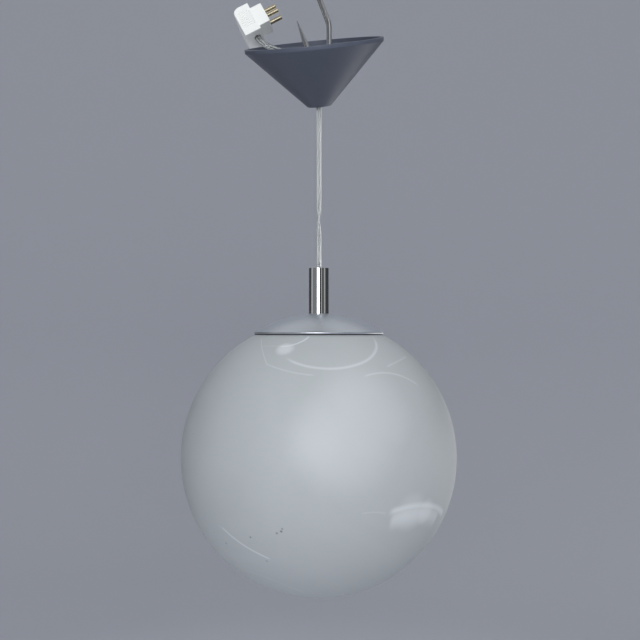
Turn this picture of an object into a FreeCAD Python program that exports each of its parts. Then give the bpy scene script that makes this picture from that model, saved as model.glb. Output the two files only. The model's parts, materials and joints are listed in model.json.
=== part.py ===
"""Pendant lamp on a steel hook: a glass globe under a spun cap, hung on a clear flat flex through a cone.

The frame is in millimetres, +Z up, with its origin at the seat inside the hook's upper bight, where the
lamp hangs from the ceiling.  Heights below are negative.  The viewer stands on the -Y side.
"""
import FreeCAD, Part
import math
import os
import Sketcher

doc = FreeCAD.newDocument("pendant_lamp")
sheet = doc.addObject("Spreadsheet::Sheet", "sizes")
Vector = FreeCAD.Vector
nodes = []
rows_used = []


class Size:
    """A length or an angle: its number, and the text that ties a feature to the sheet."""

    def __init__(self, number, text):
        self.number = number
        self.text = text

    def __add__(self, other):
        other = as_size(other)
        return Size(self.number + other.number, f"({self.text} + {other.text})")

    def __sub__(self, other):
        other = as_size(other)
        return Size(self.number - other.number, f"({self.text} - {other.text})")

    def __mul__(self, other):
        other = as_size(other)
        return Size(self.number * other.number, f"{self.text} * {other.text}")

    def __truediv__(self, other):
        other = as_size(other)
        return Size(self.number / other.number, f"{self.text} / {other.text}")

    def __neg__(self):
        return Size(-self.number, f"(0 - {self.text})")

    __radd__ = __add__
    __rmul__ = __mul__

    def __rsub__(self, other):
        return as_size(other) - self


def as_size(value):
    return value if isinstance(value, Size) else Size(float(value), f"{value}")


def size(name, number):
    """One row of the sheet: a driving dimension with its alias."""
    rows_used.append(name)
    row = len(rows_used)
    sheet.set(f"A{row}", name)
    sheet.set(f"B{row}", str(number))
    sheet.setAlias(f"B{row}", name)
    return Size(number, f"sizes.{name}")


def root(value):
    return Size(math.sqrt(value.number), f"sqrt({value.text})")


def sine(angle):
    return Size(math.sin(math.radians(angle.number)), f"sin({angle.text})")


def cosine(angle):
    return Size(math.cos(math.radians(angle.number)), f"cos({angle.text})")


def tangent(angle):
    return Size(math.tan(math.radians(angle.number)), f"tan({angle.text})")


class Arc:
    """A round edge of an outline, with its centre on the left of the way (1) or on the right (-1)."""

    def __init__(self, radius, side):
        self.radius = as_size(radius)
        self.side = side


def arc_of(start, end, arc):
    half = (end - start) * 0.5
    across = Vector(-half.y, half.x, 0).normalize() * arc.side
    depth = math.sqrt(max(arc.radius.number ** 2 - half.Length ** 2, 0.0))
    centre = start + half + across * depth
    first, last = (start, end) if arc.side > 0 else (end, start)
    begin = math.atan2(first.y - centre.y, first.x - centre.x)
    finish = math.atan2(last.y - centre.y, last.x - centre.x)
    circle = Part.Circle(centre, Vector(0, 0, 1), arc.radius.number)
    return Part.ArcOfCircle(circle, begin, finish)


def tie(sketch, constraint, value):
    index = sketch.addConstraint(constraint)
    sketch.setExpression(f"Constraints[{index}]", value.text)


def pin_corner(sketch, edge, end, corner):
    """Holds one corner of a sketch at its two coordinates."""
    across, up = as_size(corner[0]), as_size(corner[1])
    if across.text == "0":
        sketch.addConstraint(Sketcher.Constraint("PointOnObject", edge, end, -2))
    else:
        tie(sketch, Sketcher.Constraint("DistanceX", -1, 1, edge, end, across.number), across)
    if up.text == "0":
        sketch.addConstraint(Sketcher.Constraint("PointOnObject", edge, end, -1))
    else:
        tie(sketch, Sketcher.Constraint("DistanceY", -1, 1, edge, end, up.number), up)


def draw(sketch, way, closed=True):
    """Draws corners and arcs in order, pins each corner and ties each radius."""
    corners = [item for item in way if not isinstance(item, Arc)]
    bows = {}
    for item, before in zip(way[1:], way):
        if isinstance(item, Arc):
            bows[corners.index(before)] = item
    spots = [Vector(as_size(x).number, as_size(y).number, 0) for x, y in corners]
    count = len(corners) if closed else len(corners) - 1
    offset = sketch.GeometryCount
    ends = []
    for index in range(count):
        start, end = spots[index], spots[(index + 1) % len(spots)]
        bow = bows.get(index)
        edge = offset + index
        if bow is None:
            sketch.addGeometry(Part.LineSegment(start, end))
            ends.append((edge, 1, 2))
        else:
            sketch.addGeometry(arc_of(start, end, bow))
            ends.append((edge, 1, 2) if bow.side > 0 else (edge, 2, 1))
    for index in range(count if closed else count - 1):
        this, following = ends[index], ends[(index + 1) % count]
        sketch.addConstraint(Sketcher.Constraint("Coincident", this[0], this[2], following[0], following[1]))
    for index in range(count):
        pin_corner(sketch, ends[index][0], ends[index][1], corners[index])
    if not closed:
        pin_corner(sketch, ends[-1][0], ends[-1][2], corners[-1])
    for index, bow in bows.items():
        tie(sketch, Sketcher.Constraint("Radius", offset + index, bow.radius.number), bow.radius)


def draw_circle(sketch, x, y, radius):
    x, y, radius = as_size(x), as_size(y), as_size(radius)
    edge = sketch.GeometryCount
    sketch.addGeometry(Part.Circle(Vector(x.number, y.number, 0), Vector(0, 0, 1), radius.number))
    pin_corner(sketch, edge, 3, (x, y))
    tie(sketch, Sketcher.Constraint("Radius", edge, radius.number), radius)


def new_body(name):
    return doc.addObject("PartDesign::Body", name)


def new_sketch(body, plane, height=None):
    """A sketch on one of the body's own planes, raised by a height along the plane's normal."""
    sketch = body.newObject("Sketcher::SketchObject", f"{body.Name}_outline")
    support = [item for item in body.Origin.OriginFeatures if item.Role == f"{plane}_Plane"][0]
    sketch.AttachmentSupport = [(support, "")]
    sketch.MapMode = "FlatFace"
    if height is not None:
        sketch.setExpression("AttachmentOffset.Base.z", as_size(height).text)
    return sketch


def pad(body, sketch, length, both_ways=False, backwards=False):
    feature = body.newObject("PartDesign::Pad", f"{body.Name}_pad")
    feature.Profile = sketch
    feature.SideType = "Symmetric" if both_ways else "One side"
    feature.Reversed = backwards
    feature.setExpression("Length", as_size(length).text)
    return feature


def pocket(body, sketch, depth=None, backwards=False, both_ways=False):
    """Cuts a sketch out of its body, and makes sure that something was cut."""
    doc.recompute()
    before = body.Shape.Volume
    feature = body.newObject("PartDesign::Pocket", f"{body.Name}_pocket")
    feature.Profile = sketch
    feature.SideType = "Symmetric" if both_ways else "One side"
    feature.Reversed = backwards
    if depth is None:
        feature.Type = "ThroughAll"
    else:
        feature.setExpression("Length", as_size(depth).text)
    doc.recompute()
    if body.Shape.Volume > before - 1e-6:
        raise RuntimeError(f"{body.Name}: a pocket cut nothing")
    return feature


def revolve(body, sketch):
    feature = body.newObject("PartDesign::Revolution", f"{body.Name}_turned")
    feature.Profile = sketch
    feature.ReferenceAxis = (sketch, ["V_Axis"])
    return feature


def place(item, x=0, y=0, z=0):
    for letter, value in (("x", x), ("y", y), ("z", z)):
        value = as_size(value)
        if value.text != "0":
            item.setExpression(f"Placement.Base.{letter}", value.text)


def turn(item, rotation):
    """Sets the rotation from the sheet, as a chain of turns about the axes."""
    item.setExpression("Placement.Rotation", rotation)


def label(item, name):
    item.Label = name
    nodes.append(item)
    return item


def turned(name, way, z=0):
    """A piece of revolution about the lamp's axis, from its half section."""
    body = new_body(name)
    sketch = new_sketch(body, "XZ")
    draw(sketch, way)
    revolve(body, sketch)
    place(body, z=z)
    return label(body, name)


def stadium(width, thickness):
    """The section of the flat twin flex: two flats and two round edges."""
    flat = (width - thickness) / 2
    half = thickness / 2
    end = width / 2
    return [(-flat, -half), (flat, -half), Arc(half, 1), (end, 0), Arc(half, 1), (flat, half),
            (-flat, half), Arc(half, 1), (-end, 0), Arc(half, 1)]


def cylinder(name, radius, height, x=0, y=0, z=0, rotation=None):
    item = doc.addObject("Part::Cylinder", name)
    item.setExpression("Radius", as_size(radius).text)
    item.setExpression("Height", as_size(height).text)
    place(item, x, y, z)
    if rotation:
        turn(item, rotation)
    return item


def box(name, length, width, height, x=0, y=0, z=0):
    item = doc.addObject("Part::Box", name)
    item.setExpression("Length", as_size(length).text)
    item.setExpression("Width", as_size(width).text)
    item.setExpression("Height", as_size(height).text)
    place(item, x, y, z)
    return item


def fuse(name, items):
    item = doc.addObject("Part::MultiFuse", name)
    item.Shapes = items
    return item


def cut(name, base, tool):
    item = doc.addObject("Part::Cut", name)
    item.Base = base
    item.Tool = tool
    return item


def group(name, items):
    item = doc.addObject("Part::Compound", name)
    item.Links = items
    return item


# The steel hook: 5 mm wire bent to an S.  The upper bight hangs on the ceiling, and the lower one, whose
# free end is a long sharpened spike, carries the flex.
wire_dia = size("wire_dia", 5.0)
bight_radius = size("bight_radius", 9.5)
bight_spacing = size("bight_spacing", 75.5)
upper_tip_length = size("upper_tip_length", 8.0)
shank_lean = size("shank_lean", 20.9)
shank_bend_radius = size("shank_bend_radius", 25.0)
spike_lean = size("spike_lean", 20.0)
spike_straight = size("spike_straight", 10.0)
spike_taper = size("spike_taper", 22.0)
spike_point_radius = size("spike_point_radius", 0.4)

# The moulded hanger: an eye round the hook, on a block that clamps the flex behind a plate.
eye_hole_radius = size("eye_hole_radius", 4.0)
eye_section_radius = size("eye_section_radius", 2.0)
seat_gap = size("seat_gap", 0.3)
eye_overlap = size("eye_overlap", 2.5)
hanger_half_width = size("hanger_half_width", 12.5)
hanger_height = size("hanger_height", 18.8)
hanger_back_depth = size("hanger_back_depth", 5.5)
hanger_front_depth = size("hanger_front_depth", 4.5)
hanger_corner = size("hanger_corner", 4.0)
plate_step = size("plate_step", 3.6)
hanger_screw_radius = size("hanger_screw_radius", 1.5)
hanger_screw_head_radius = size("hanger_screw_head_radius", 2.8)
hanger_screw_head_height = size("hanger_screw_head_height", 1.9)
hanger_screw_bite = size("hanger_screw_bite", 4.2)
hanger_screw_right = size("hanger_screw_right", 6.6)
hanger_screw_left = size("hanger_screw_left", 7.2)
hanger_screw_upper = size("hanger_screw_upper", 10.3)
hanger_screw_lower = size("hanger_screw_lower", 4.6)
screw_hole_gap = size("screw_hole_gap", 0.1)

# The flex: clear flat twin with two tinned strands.
flex_width = size("flex_width", 5.2)
flex_thickness = size("flex_thickness", 2.6)
strand_radius = size("strand_radius", 0.7)
strand_pitch = size("strand_pitch", 2.3)
strand_gap = size("strand_gap", 0.05)
drop_length = size("drop_length", 165.6)
flex_rise = size("flex_rise", 5.0)
flex_lean = size("flex_lean", 35.0)
flex_bend_radius = size("flex_bend_radius", 4.0)
flex_slant_length = size("flex_slant_length", 17.4)
channel_side_gap = size("channel_side_gap", 0.5)
channel_depth_gap = size("channel_depth_gap", 0.05)

# The canopy: a moulded cone, open at the top, that sits crooked on a ball bush on the flex.
canopy_rim_radius = size("canopy_rim_radius", 62.4)
canopy_foot_radius = size("canopy_foot_radius", 11.0)
canopy_height = size("canopy_height", 54.5)
canopy_rim_band = size("canopy_rim_band", 3.2)
canopy_wall = size("canopy_wall", 2.76)
canopy_floor = size("canopy_floor", 2.5)
canopy_edge_radius = size("canopy_edge_radius", 0.8)
canopy_tilt = size("canopy_tilt", 23.3)
canopy_roll = size("canopy_roll", 5.2)
boss_radius = size("boss_radius", 9.0)
boss_height = size("boss_height", 11.0)
ball_below_hanger = size("ball_below_hanger", 10.3)
ball_radius = size("ball_radius", 6.5)
ball_gap = size("ball_gap", 0.3)
ball_half_height = size("ball_half_height", 4.0)
ball_centre_height = size("ball_centre_height", 6.0)
canopy_hole_radius = size("canopy_hole_radius", 5.3)
flex_gap = size("flex_gap", 0.3)

# The chrome neck tube on the cap.
neck_radius = size("neck_radius", 9.3)
neck_wall = size("neck_wall", 1.2)
neck_height = size("neck_height", 42.3)
neck_floor = size("neck_floor", 3.0)
neck_lip_radius = size("neck_lip_radius", 0.6)
bush_recess = size("bush_recess", 0.8)
bush_height = size("bush_height", 7.0)
bush_gap = size("bush_gap", 0.05)
grip_height = size("grip_height", 16.0)
grip_gap = size("grip_gap", 0.2)
grip_screw_radius = size("grip_screw_radius", 1.95)
grip_screw_gap = size("grip_screw_gap", 0.1)
nipple_radius = size("nipple_radius", 5.0)
nipple_bore_radius = size("nipple_bore_radius", 3.5)
nipple_rise = size("nipple_rise", 1.0)
thread_gap = size("thread_gap", 0.05)

# The spun cap and the clip plate under it.
cap_rim_radius = size("cap_rim_radius", 59.2)
cap_height = size("cap_height", 18.6)
cap_dome_radius = size("cap_dome_radius", 102.0)
cap_wall = size("cap_wall", 1.5)
cap_corner_wall = size("cap_corner_wall", 1.8)
cap_land_radius = size("cap_land_radius", 10.0)
cap_rim_depth = size("cap_rim_depth", 1.6)
cap_flange_width = size("cap_flange_width", 6.2)
cap_flange_thickness = size("cap_flange_thickness", 1.2)
washer_radius = size("washer_radius", 8.5)
washer_thickness = size("washer_thickness", 0.8)
locknut_flats = size("locknut_flats", 14.0)
locknut_height = size("locknut_height", 3.5)
clip_plate_radius = size("clip_plate_radius", 27.0)
clip_plate_thickness = size("clip_plate_thickness", 1.2)
seal_thickness = size("seal_thickness", 0.8)
seal_inset = size("seal_inset", 0.6)

# The three spring clips that hold the globe by the edge of its mouth.
clip_thickness = size("clip_thickness", 0.6)
clip_width = size("clip_width", 10.0)
clip_foot_start = size("clip_foot_start", 17.0)
clip_foot_end = size("clip_foot_end", 26.0)
clip_mouth_gap = size("clip_mouth_gap", 1.2)
clip_glass_gap = size("clip_glass_gap", 0.35)
clip_bear_start = size("clip_bear_start", 1.3)
clip_bear_end = size("clip_bear_end", 3.6)
clip_tail_length = size("clip_tail_length", 4.5)
clip_tail_lean = size("clip_tail_lean", 1.0)
clip_shoulder_lean = size("clip_shoulder_lean", 2.0)
clip_shoulder_rise = size("clip_shoulder_rise", 5.0)
clip_neck_start = size("clip_neck_start", 0.4)
clip_neck_end = size("clip_neck_end", 0.8)
rivet_radius = size("rivet_radius", 1.2)
rivet_head_radius = size("rivet_head_radius", 1.9)
rivet_head_height = size("rivet_head_height", 0.7)
rivet_circle_radius = size("rivet_circle_radius", 22.0)

# The glass globe.
globe_radius = size("globe_radius", 125.0)
globe_wall = size("globe_wall", 3.0)
globe_mouth_overhang = size("globe_mouth_overhang", 0.2)
globe_seat_gap = size("globe_seat_gap", 0.2)

# The lamp holder.
holder_radius = size("holder_radius", 19.5)
holder_wall = size("holder_wall", 2.0)
holder_boss_radius = size("holder_boss_radius", 8.0)
holder_boss_height = size("holder_boss_height", 5.6)
holder_shoulder = size("holder_shoulder", 7.4)
holder_cap_height = size("holder_cap_height", 25.0)
skirt_height = size("skirt_height", 24.0)
skirt_lip = size("skirt_lip", 1.3)
skirt_wall = size("skirt_wall", 3.6)
skirt_floor = size("skirt_floor", 2.0)
insert_height = size("insert_height", 8.0)
insert_gap = size("insert_gap", 0.25)
shell_radius = size("shell_radius", 13.8)
shell_wall = size("shell_wall", 0.5)
shell_height = size("shell_height", 22.0)
shell_floor_radius = size("shell_floor_radius", 9.0)
terminal_spacing = size("terminal_spacing", 9.0)
terminal_screw_radius = size("terminal_screw_radius", 1.5)
terminal_head_radius = size("terminal_head_radius", 2.7)
terminal_head_height = size("terminal_head_height", 1.8)
terminal_floor = size("terminal_floor", 1.0)
contact_width = size("contact_width", 4.0)
contact_thickness = size("contact_thickness", 0.5)
contact_spring_drop = size("contact_spring_drop", 1.6)
contact_margin = size("contact_margin", 2.0)
contact_bevel = size("contact_bevel", 1.0)
lead_radius = size("lead_radius", 0.7)
lead_straight = size("lead_straight", 2.4)
flex_tail_in_holder = size("flex_tail_in_holder", 1.0)

# The lamp bulb.
bulb_contact_gap = size("bulb_contact_gap", 0.1)
bulb_cap_radius = size("bulb_cap_radius", 13.05)
bulb_cap_wall = size("bulb_cap_wall", 0.4)
bulb_cap_length = size("bulb_cap_length", 21.0)
bulb_insulator_length = size("bulb_insulator_length", 3.2)
bulb_contact_radius = size("bulb_contact_radius", 4.8)
bulb_contact_rim = size("bulb_contact_rim", 0.4)
bulb_contact_bevel = size("bulb_contact_bevel", 1.0)
bulb_insulator_gap = size("bulb_insulator_gap", 0.1)
bulb_collar_length = size("bulb_collar_length", 22.0)
bulb_collar_radius = size("bulb_collar_radius", 25.0)
bulb_collar_bow = size("bulb_collar_bow", 35.0)
bulb_collar_step = size("bulb_collar_step", 0.6)
bulb_collar_spigot = size("bulb_collar_spigot", 1.0)
bulb_radius = size("bulb_radius", 30.0)
bulb_wall = size("bulb_wall", 1.0)
thread_pitch = size("thread_pitch", 3.5)
thread_depth = size("thread_depth", 0.9)

# The ceiling plug on the end of the flex, lying against the cone's rim.
plug_x = size("plug_x", -67.37)
plug_y = size("plug_y", -3.41)
plug_z = size("plug_z", -70.33)
plug_lean = size("plug_lean", 27.0)
plug_dip = size("plug_dip", 16.0)
plug_depth = size("plug_depth", 16.0)
plug_width = size("plug_width", 26.0)
plug_tall = size("plug_tall", 31.2)
plug_wall = size("plug_wall", 1.8)
plug_edge_radius = size("plug_edge_radius", 0.8)
plug_back_radius = size("plug_back_radius", 6.5)
plug_face_depth = size("plug_face_depth", 10.8)
plug_face_inset = size("plug_face_inset", 1.5)
plug_face_width = size("plug_face_width", 16.7)
plug_face_bottom = size("plug_face_bottom", 4.0)
plug_face_top = size("plug_face_top", 5.8)
plug_spigot_depth = size("plug_spigot_depth", 4.0)
plug_spigot_gap = size("plug_spigot_gap", 0.2)
plug_cord_hole_radius = size("plug_cord_hole_radius", 3.2)
plug_cord_hole_depth = size("plug_cord_hole_depth", 10.5)
plug_cord_hole_across = size("plug_cord_hole_across", 10.0)
plug_pin_radius = size("plug_pin_radius", 2.0)
plug_stem_radius = size("plug_stem_radius", 1.7)
plug_pin_length = size("plug_pin_length", 12.0)
plug_pin_spacing = size("plug_pin_spacing", 7.0)
plug_earth_offset = size("plug_earth_offset", 2.2)
plug_rib_count = size("plug_rib_count", 8)
plug_rib_pitch = size("plug_rib_pitch", 2.2)
plug_rib_depth = size("plug_rib_depth", 0.5)
plug_rib_width = size("plug_rib_width", 1.0)
plug_terminal_size = size("plug_terminal_size", 5.0)
plug_terminal_gap = size("plug_terminal_gap", 0.2)
plug_screw_radius = size("plug_screw_radius", 1.5)
plug_screw_head_radius = size("plug_screw_head_radius", 2.3)
plug_screw_inset = size("plug_screw_inset", 2.7)

# Heights of the seats down the lamp, each from the one above.
wire_radius = wire_dia / 2
upper_bight = -(bight_radius - wire_radius)
lower_bight = upper_bight - bight_spacing
swing_height = lower_bight - bight_radius
eye_centre = swing_height + wire_radius + seat_gap - eye_hole_radius
hanger_top = eye_centre - eye_hole_radius - 2 * eye_section_radius + eye_overlap
hanger_bottom = hanger_top - hanger_height
ball_height = hanger_bottom - ball_below_hanger
neck_top = hanger_bottom - drop_length
neck_bottom = neck_top - neck_height
cap_rim = neck_bottom - cap_height
glass_top = cap_rim - seal_thickness - globe_seat_gap
globe_mouth_radius = cap_rim_radius + globe_mouth_overhang
washer_top = neck_bottom - cap_wall
locknut_top = washer_top - washer_thickness
clip_plate_top = locknut_top - locknut_height
holder_top = clip_plate_top - clip_plate_thickness
holder_split = holder_top - holder_cap_height


def make_hook():
    """Wire swept along its bends, with a ball on the upper tip and a cone for the spike."""
    body_path = doc.addObject("Sketcher::SketchObject", "hook_path")
    body_path.Placement = FreeCAD.Placement(Vector(0, 0, 0), FreeCAD.Rotation(Vector(1, 0, 0), 90))
    turn_length = shank_bend_radius * tangent(shank_lean / 2)
    knee = upper_bight - bight_radius * sine(shank_lean) \
        - bight_radius * (1 + cosine(shank_lean)) / tangent(shank_lean)
    spike_x = -bight_radius * cosine(spike_lean) - spike_straight * sine(spike_lean)
    spike_z = lower_bight - bight_radius * sine(spike_lean) + spike_straight * cosine(spike_lean)
    draw(body_path, [
        (bight_radius, upper_bight - upper_tip_length),
        (bight_radius, upper_bight), Arc(bight_radius, 1),
        (0, upper_bight + bight_radius), Arc(bight_radius, 1),
        (-bight_radius * cosine(shank_lean), upper_bight - bight_radius * sine(shank_lean)),
        (bight_radius - turn_length * sine(shank_lean), knee + turn_length * cosine(shank_lean)),
        Arc(shank_bend_radius, -1),
        (bight_radius, knee - turn_length),
        (bight_radius, lower_bight), Arc(bight_radius, -1),
        (0, lower_bight - bight_radius), Arc(bight_radius, -1),
        (-bight_radius * cosine(spike_lean), lower_bight - bight_radius * sine(spike_lean)),
        (spike_x, spike_z),
    ], closed=False)
    section = doc.addObject("Part::Circle", "hook_section")
    section.setExpression("Radius", wire_radius.text)
    place(section, x=bight_radius, z=upper_bight - upper_tip_length)
    wire = doc.addObject("Part::Sweep", "hook_wire")
    wire.Sections = [section]
    wire.Spine = (body_path, [])
    wire.Solid = True
    spike = doc.addObject("Part::Cone", "hook_spike")
    spike.setExpression("Radius1", wire_radius.text)
    spike.setExpression("Radius2", spike_point_radius.text)
    spike.setExpression("Height", spike_taper.text)
    place(spike, x=spike_x, z=spike_z)
    turn(spike, f"create(<<rotation>>; create(<<vector>>; 0; 1; 0); 0 - {spike_lean.text})")
    tip = doc.addObject("Part::Sphere", "hook_tip")
    tip.setExpression("Radius", wire_radius.text)
    place(tip, x=bight_radius, z=upper_bight - upper_tip_length)
    label(fuse("hook", [wire, spike, tip]), "suspension_hook")


def channel_way():
    """The flex's groove through the hanger, with its corner mitred."""
    side = flex_width / 2 + channel_side_gap
    corner = side * tangent(flex_lean / 2)
    run = flex_slant_length + hanger_corner
    bend = hanger_bottom + flex_rise
    step_x = run * sine(flex_lean)
    step_z = run * cosine(flex_lean)
    return [
        (side, hanger_bottom - 1), (side, bend + corner),
        (side * cosine(flex_lean) - step_x, bend + side * sine(flex_lean) + step_z),
        (-side * cosine(flex_lean) - step_x, bend - side * sine(flex_lean) + step_z),
        (-side, bend - corner), (-side, hanger_bottom - 1),
    ]


def hanger_way(top):
    """The outline of the hanger's block and of its plate, seen from the front."""
    return [
        (hanger_corner - hanger_half_width, hanger_bottom), (hanger_half_width - hanger_corner, hanger_bottom),
        (hanger_half_width, hanger_bottom + hanger_corner), (hanger_half_width, top - hanger_corner / 2),
        (hanger_half_width - hanger_corner / 2, top), (hanger_corner / 2 - hanger_half_width, top),
        (-hanger_half_width, top - hanger_corner / 2), (-hanger_half_width, hanger_bottom + hanger_corner),
    ]


def hanger_holes(body, depth, radius, backwards):
    sketch = new_sketch(body, "XZ")
    draw_circle(sketch, hanger_screw_right, hanger_bottom + hanger_screw_upper, radius)
    draw_circle(sketch, -hanger_screw_left, hanger_bottom + hanger_screw_lower, radius)
    pocket(body, sketch, depth, backwards=backwards)


def make_hanger():
    """The moulded block behind the flex, with the eye over it, and the plate before the flex."""
    block = new_body("hanger_block")
    outline = new_sketch(block, "XZ")
    draw(outline, hanger_way(hanger_top))
    pad(block, outline, hanger_back_depth, backwards=True)
    groove = new_sketch(block, "XZ")
    draw(groove, channel_way())
    pocket(block, groove, flex_thickness / 2 + channel_depth_gap)
    hanger_holes(block, hanger_screw_bite + screw_hole_gap, hanger_screw_radius + screw_hole_gap, False)
    eye = doc.addObject("Part::Torus", "hanger_eye")
    eye.setExpression("Radius1", (eye_hole_radius + eye_section_radius).text)
    eye.setExpression("Radius2", eye_section_radius.text)
    place(eye, z=eye_centre)
    turn(eye, "create(<<rotation>>; create(<<vector>>; 0; 1; 0); 90)")
    label(fuse("hanger_moulding", [block, eye]), "cord_hanger")

    plate = new_body("hanger_clamp_plate")
    outline = new_sketch(plate, "XZ")
    draw(outline, hanger_way(hanger_top - plate_step))
    pad(plate, outline, hanger_front_depth)
    groove = new_sketch(plate, "XZ")
    draw(groove, channel_way())
    pocket(plate, groove, flex_thickness / 2 + channel_depth_gap, backwards=True)
    hanger_holes(plate, None, hanger_screw_radius + screw_hole_gap, True)
    label(plate, "hanger_clamp_plate")

    screws = []
    for name, x, z in (("right", hanger_screw_right, hanger_screw_upper),
                       ("left", -hanger_screw_left, hanger_screw_lower)):
        along = "create(<<rotation>>; create(<<vector>>; 1; 0; 0); 90)"
        shank = cylinder(f"hanger_screw_{name}_shank", hanger_screw_radius,
                         hanger_front_depth + hanger_screw_bite, x, hanger_screw_bite,
                         hanger_bottom + z, along)
        head = cylinder(f"hanger_screw_{name}_head", hanger_screw_head_radius, hanger_screw_head_height,
                        x, -hanger_front_depth, hanger_bottom + z, along)
        screws.append(fuse(f"hanger_screw_{name}", [shank, head]))
    label(group("hanger_screw_pair", screws), "hanger_screws")


def make_held_flex():
    """The stretch of flex that the hanger clamps, straight up and then slanting out to the left."""
    path = doc.addObject("Sketcher::SketchObject", "held_flex_path")
    path.Placement = FreeCAD.Placement(Vector(0, 0, 0), FreeCAD.Rotation(Vector(1, 0, 0), 90))
    bend = hanger_bottom + flex_rise
    turn_length = flex_bend_radius * tangent(flex_lean / 2)
    draw(path, [
        (0, hanger_bottom), (0, bend - turn_length), Arc(flex_bend_radius, 1),
        (-turn_length * sine(flex_lean), bend + turn_length * cosine(flex_lean)),
        (-flex_slant_length * sine(flex_lean), bend + flex_slant_length * cosine(flex_lean)),
    ], closed=False)
    section = doc.addObject("Sketcher::SketchObject", "held_flex_section")
    draw(section, stadium(flex_width, flex_thickness))
    section.setExpression("Placement.Base.z", hanger_bottom.text)
    flex = doc.addObject("Part::Sweep", "held_flex")
    flex.Sections = [section]
    flex.Spine = (path, [])
    flex.Solid = True
    label(flex, "flex_held")


def make_hanging_flex():
    """The straight flex from the hanger to the neck: a clear jacket with a bore for each strand."""
    length = drop_length + bush_recess
    jacket = new_body("flex_drop")
    section = new_sketch(jacket, "XY")
    draw(section, stadium(flex_width, flex_thickness))
    for side in (-0.5, 0.5):
        draw_circle(section, strand_pitch * side, 0, strand_radius + strand_gap)
    pad(jacket, section, length)
    place(jacket, z=neck_top - bush_recess)
    label(jacket, "flex_drop")
    strands = [cylinder(f"strand_{index}", strand_radius, length, strand_pitch * side, 0,
                        neck_top - bush_recess) for index, side in enumerate((-0.5, 0.5))]
    label(group("flex_strand_pair", strands), "flex_strands")


def tube_along(points, radius):
    """A round tube on straight runs joined by the largest tangent arcs that the runs allow."""
    spots = [Vector(*point) for point in points]
    edges = []
    start = spots[0]
    for before, here, after in zip(spots, spots[1:], spots[2:]):
        back = (before - here).normalize()
        ahead = (after - here).normalize()
        half_turn = (math.pi - back.getAngle(ahead)) / 2
        reach = 0.45 * min((before - here).Length, (after - here).Length)
        print(f"  bend at {tuple(round(v, 1) for v in here)}: radius {reach / math.tan(half_turn):.1f}")
        middle = (back + ahead).normalize()
        arc_radius = reach / math.tan(half_turn)
        top = here + middle * (arc_radius / math.cos(half_turn) - arc_radius)
        edges.append(Part.LineSegment(start, here + back * reach).toShape())
        edges.append(Part.Arc(here + back * reach, top, here + ahead * reach).toShape())
        start = here + ahead * reach
    edges.append(Part.LineSegment(start, spots[-1]).toShape())
    spine = Part.Wire(edges)
    ring = Part.Wire(Part.Circle(spots[0], spots[1] - spots[0], radius).toShape())
    tube = spine.makePipeShell([ring], True, True)
    share = tube.Volume / (math.pi * radius ** 2 * spine.Length)
    print(f"  tube length {spine.Length:.1f}, volume over section times length {share:.4f}")
    return tube


# The route of the free tail, from the hanger's slanting exit to the plug's cord hole.
tail_route = [
    (-9.99, 0.0, -98.235),
    (-16.87, 0.0, -88.41),
    (-33.0, -1.0, -84.0),
    (-52.66, 3.61, -76.07),
    (-57.46, 6.64, -66.65),
]


def make_tail():
    tail = doc.addObject("Part::Feature", "flex_tail")
    tail.Shape = tube_along(tail_route, flex_width.number / 2)
    label(tail, "flex_tail")


def make_bush_and_canopy():
    """The ball bush grips the flex, and the cone rocks on it."""
    flat = root(ball_radius * ball_radius - ball_half_height * ball_half_height)
    bush = turned("canopy_bush", [
        (0, -ball_half_height), (flat, -ball_half_height), Arc(ball_radius, 1),
        (flat, ball_half_height), (0, ball_half_height),
    ], z=ball_height)
    slot = new_sketch(bush, "XY")
    draw(slot, stadium(flex_width + 2 * flex_gap, flex_thickness + 2 * flex_gap))
    pocket(bush, slot, both_ways=True)

    socket = ball_radius + ball_gap
    mouth = root(socket * socket - canopy_hole_radius * canopy_hole_radius)
    slope = (canopy_rim_radius - canopy_foot_radius) / (canopy_height - canopy_rim_band)
    centre = ball_centre_height
    band_foot = canopy_height - canopy_rim_band - centre
    canopy = turned("canopy", [
        (canopy_hole_radius, -centre),
        (canopy_foot_radius - canopy_edge_radius, -centre),
        (canopy_foot_radius, canopy_edge_radius / 2 - centre),
        (canopy_rim_radius, band_foot),
        (canopy_rim_radius, canopy_height - canopy_edge_radius - centre),
        (canopy_rim_radius - canopy_edge_radius / 2, canopy_height - centre),
        (canopy_rim_radius - canopy_wall + canopy_edge_radius / 2, canopy_height - centre),
        (canopy_rim_radius - canopy_wall, canopy_height - canopy_edge_radius - centre),
        (canopy_rim_radius - canopy_wall, band_foot),
        (canopy_foot_radius + slope * canopy_floor - canopy_wall, canopy_floor - centre),
        (boss_radius, canopy_floor - centre),
        (boss_radius, boss_height - centre),
        (canopy_hole_radius, boss_height - centre),
        (canopy_hole_radius, mouth), Arc(socket, -1),
        (canopy_hole_radius, -mouth),
    ], z=ball_height)
    turn(canopy, f"create(<<rotation>>; create(<<vector>>; 1; 0; 0); {canopy_tilt.text})"
                 f" * create(<<rotation>>; create(<<vector>>; 0; 1; 0); 0 - {canopy_roll.text})")


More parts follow.
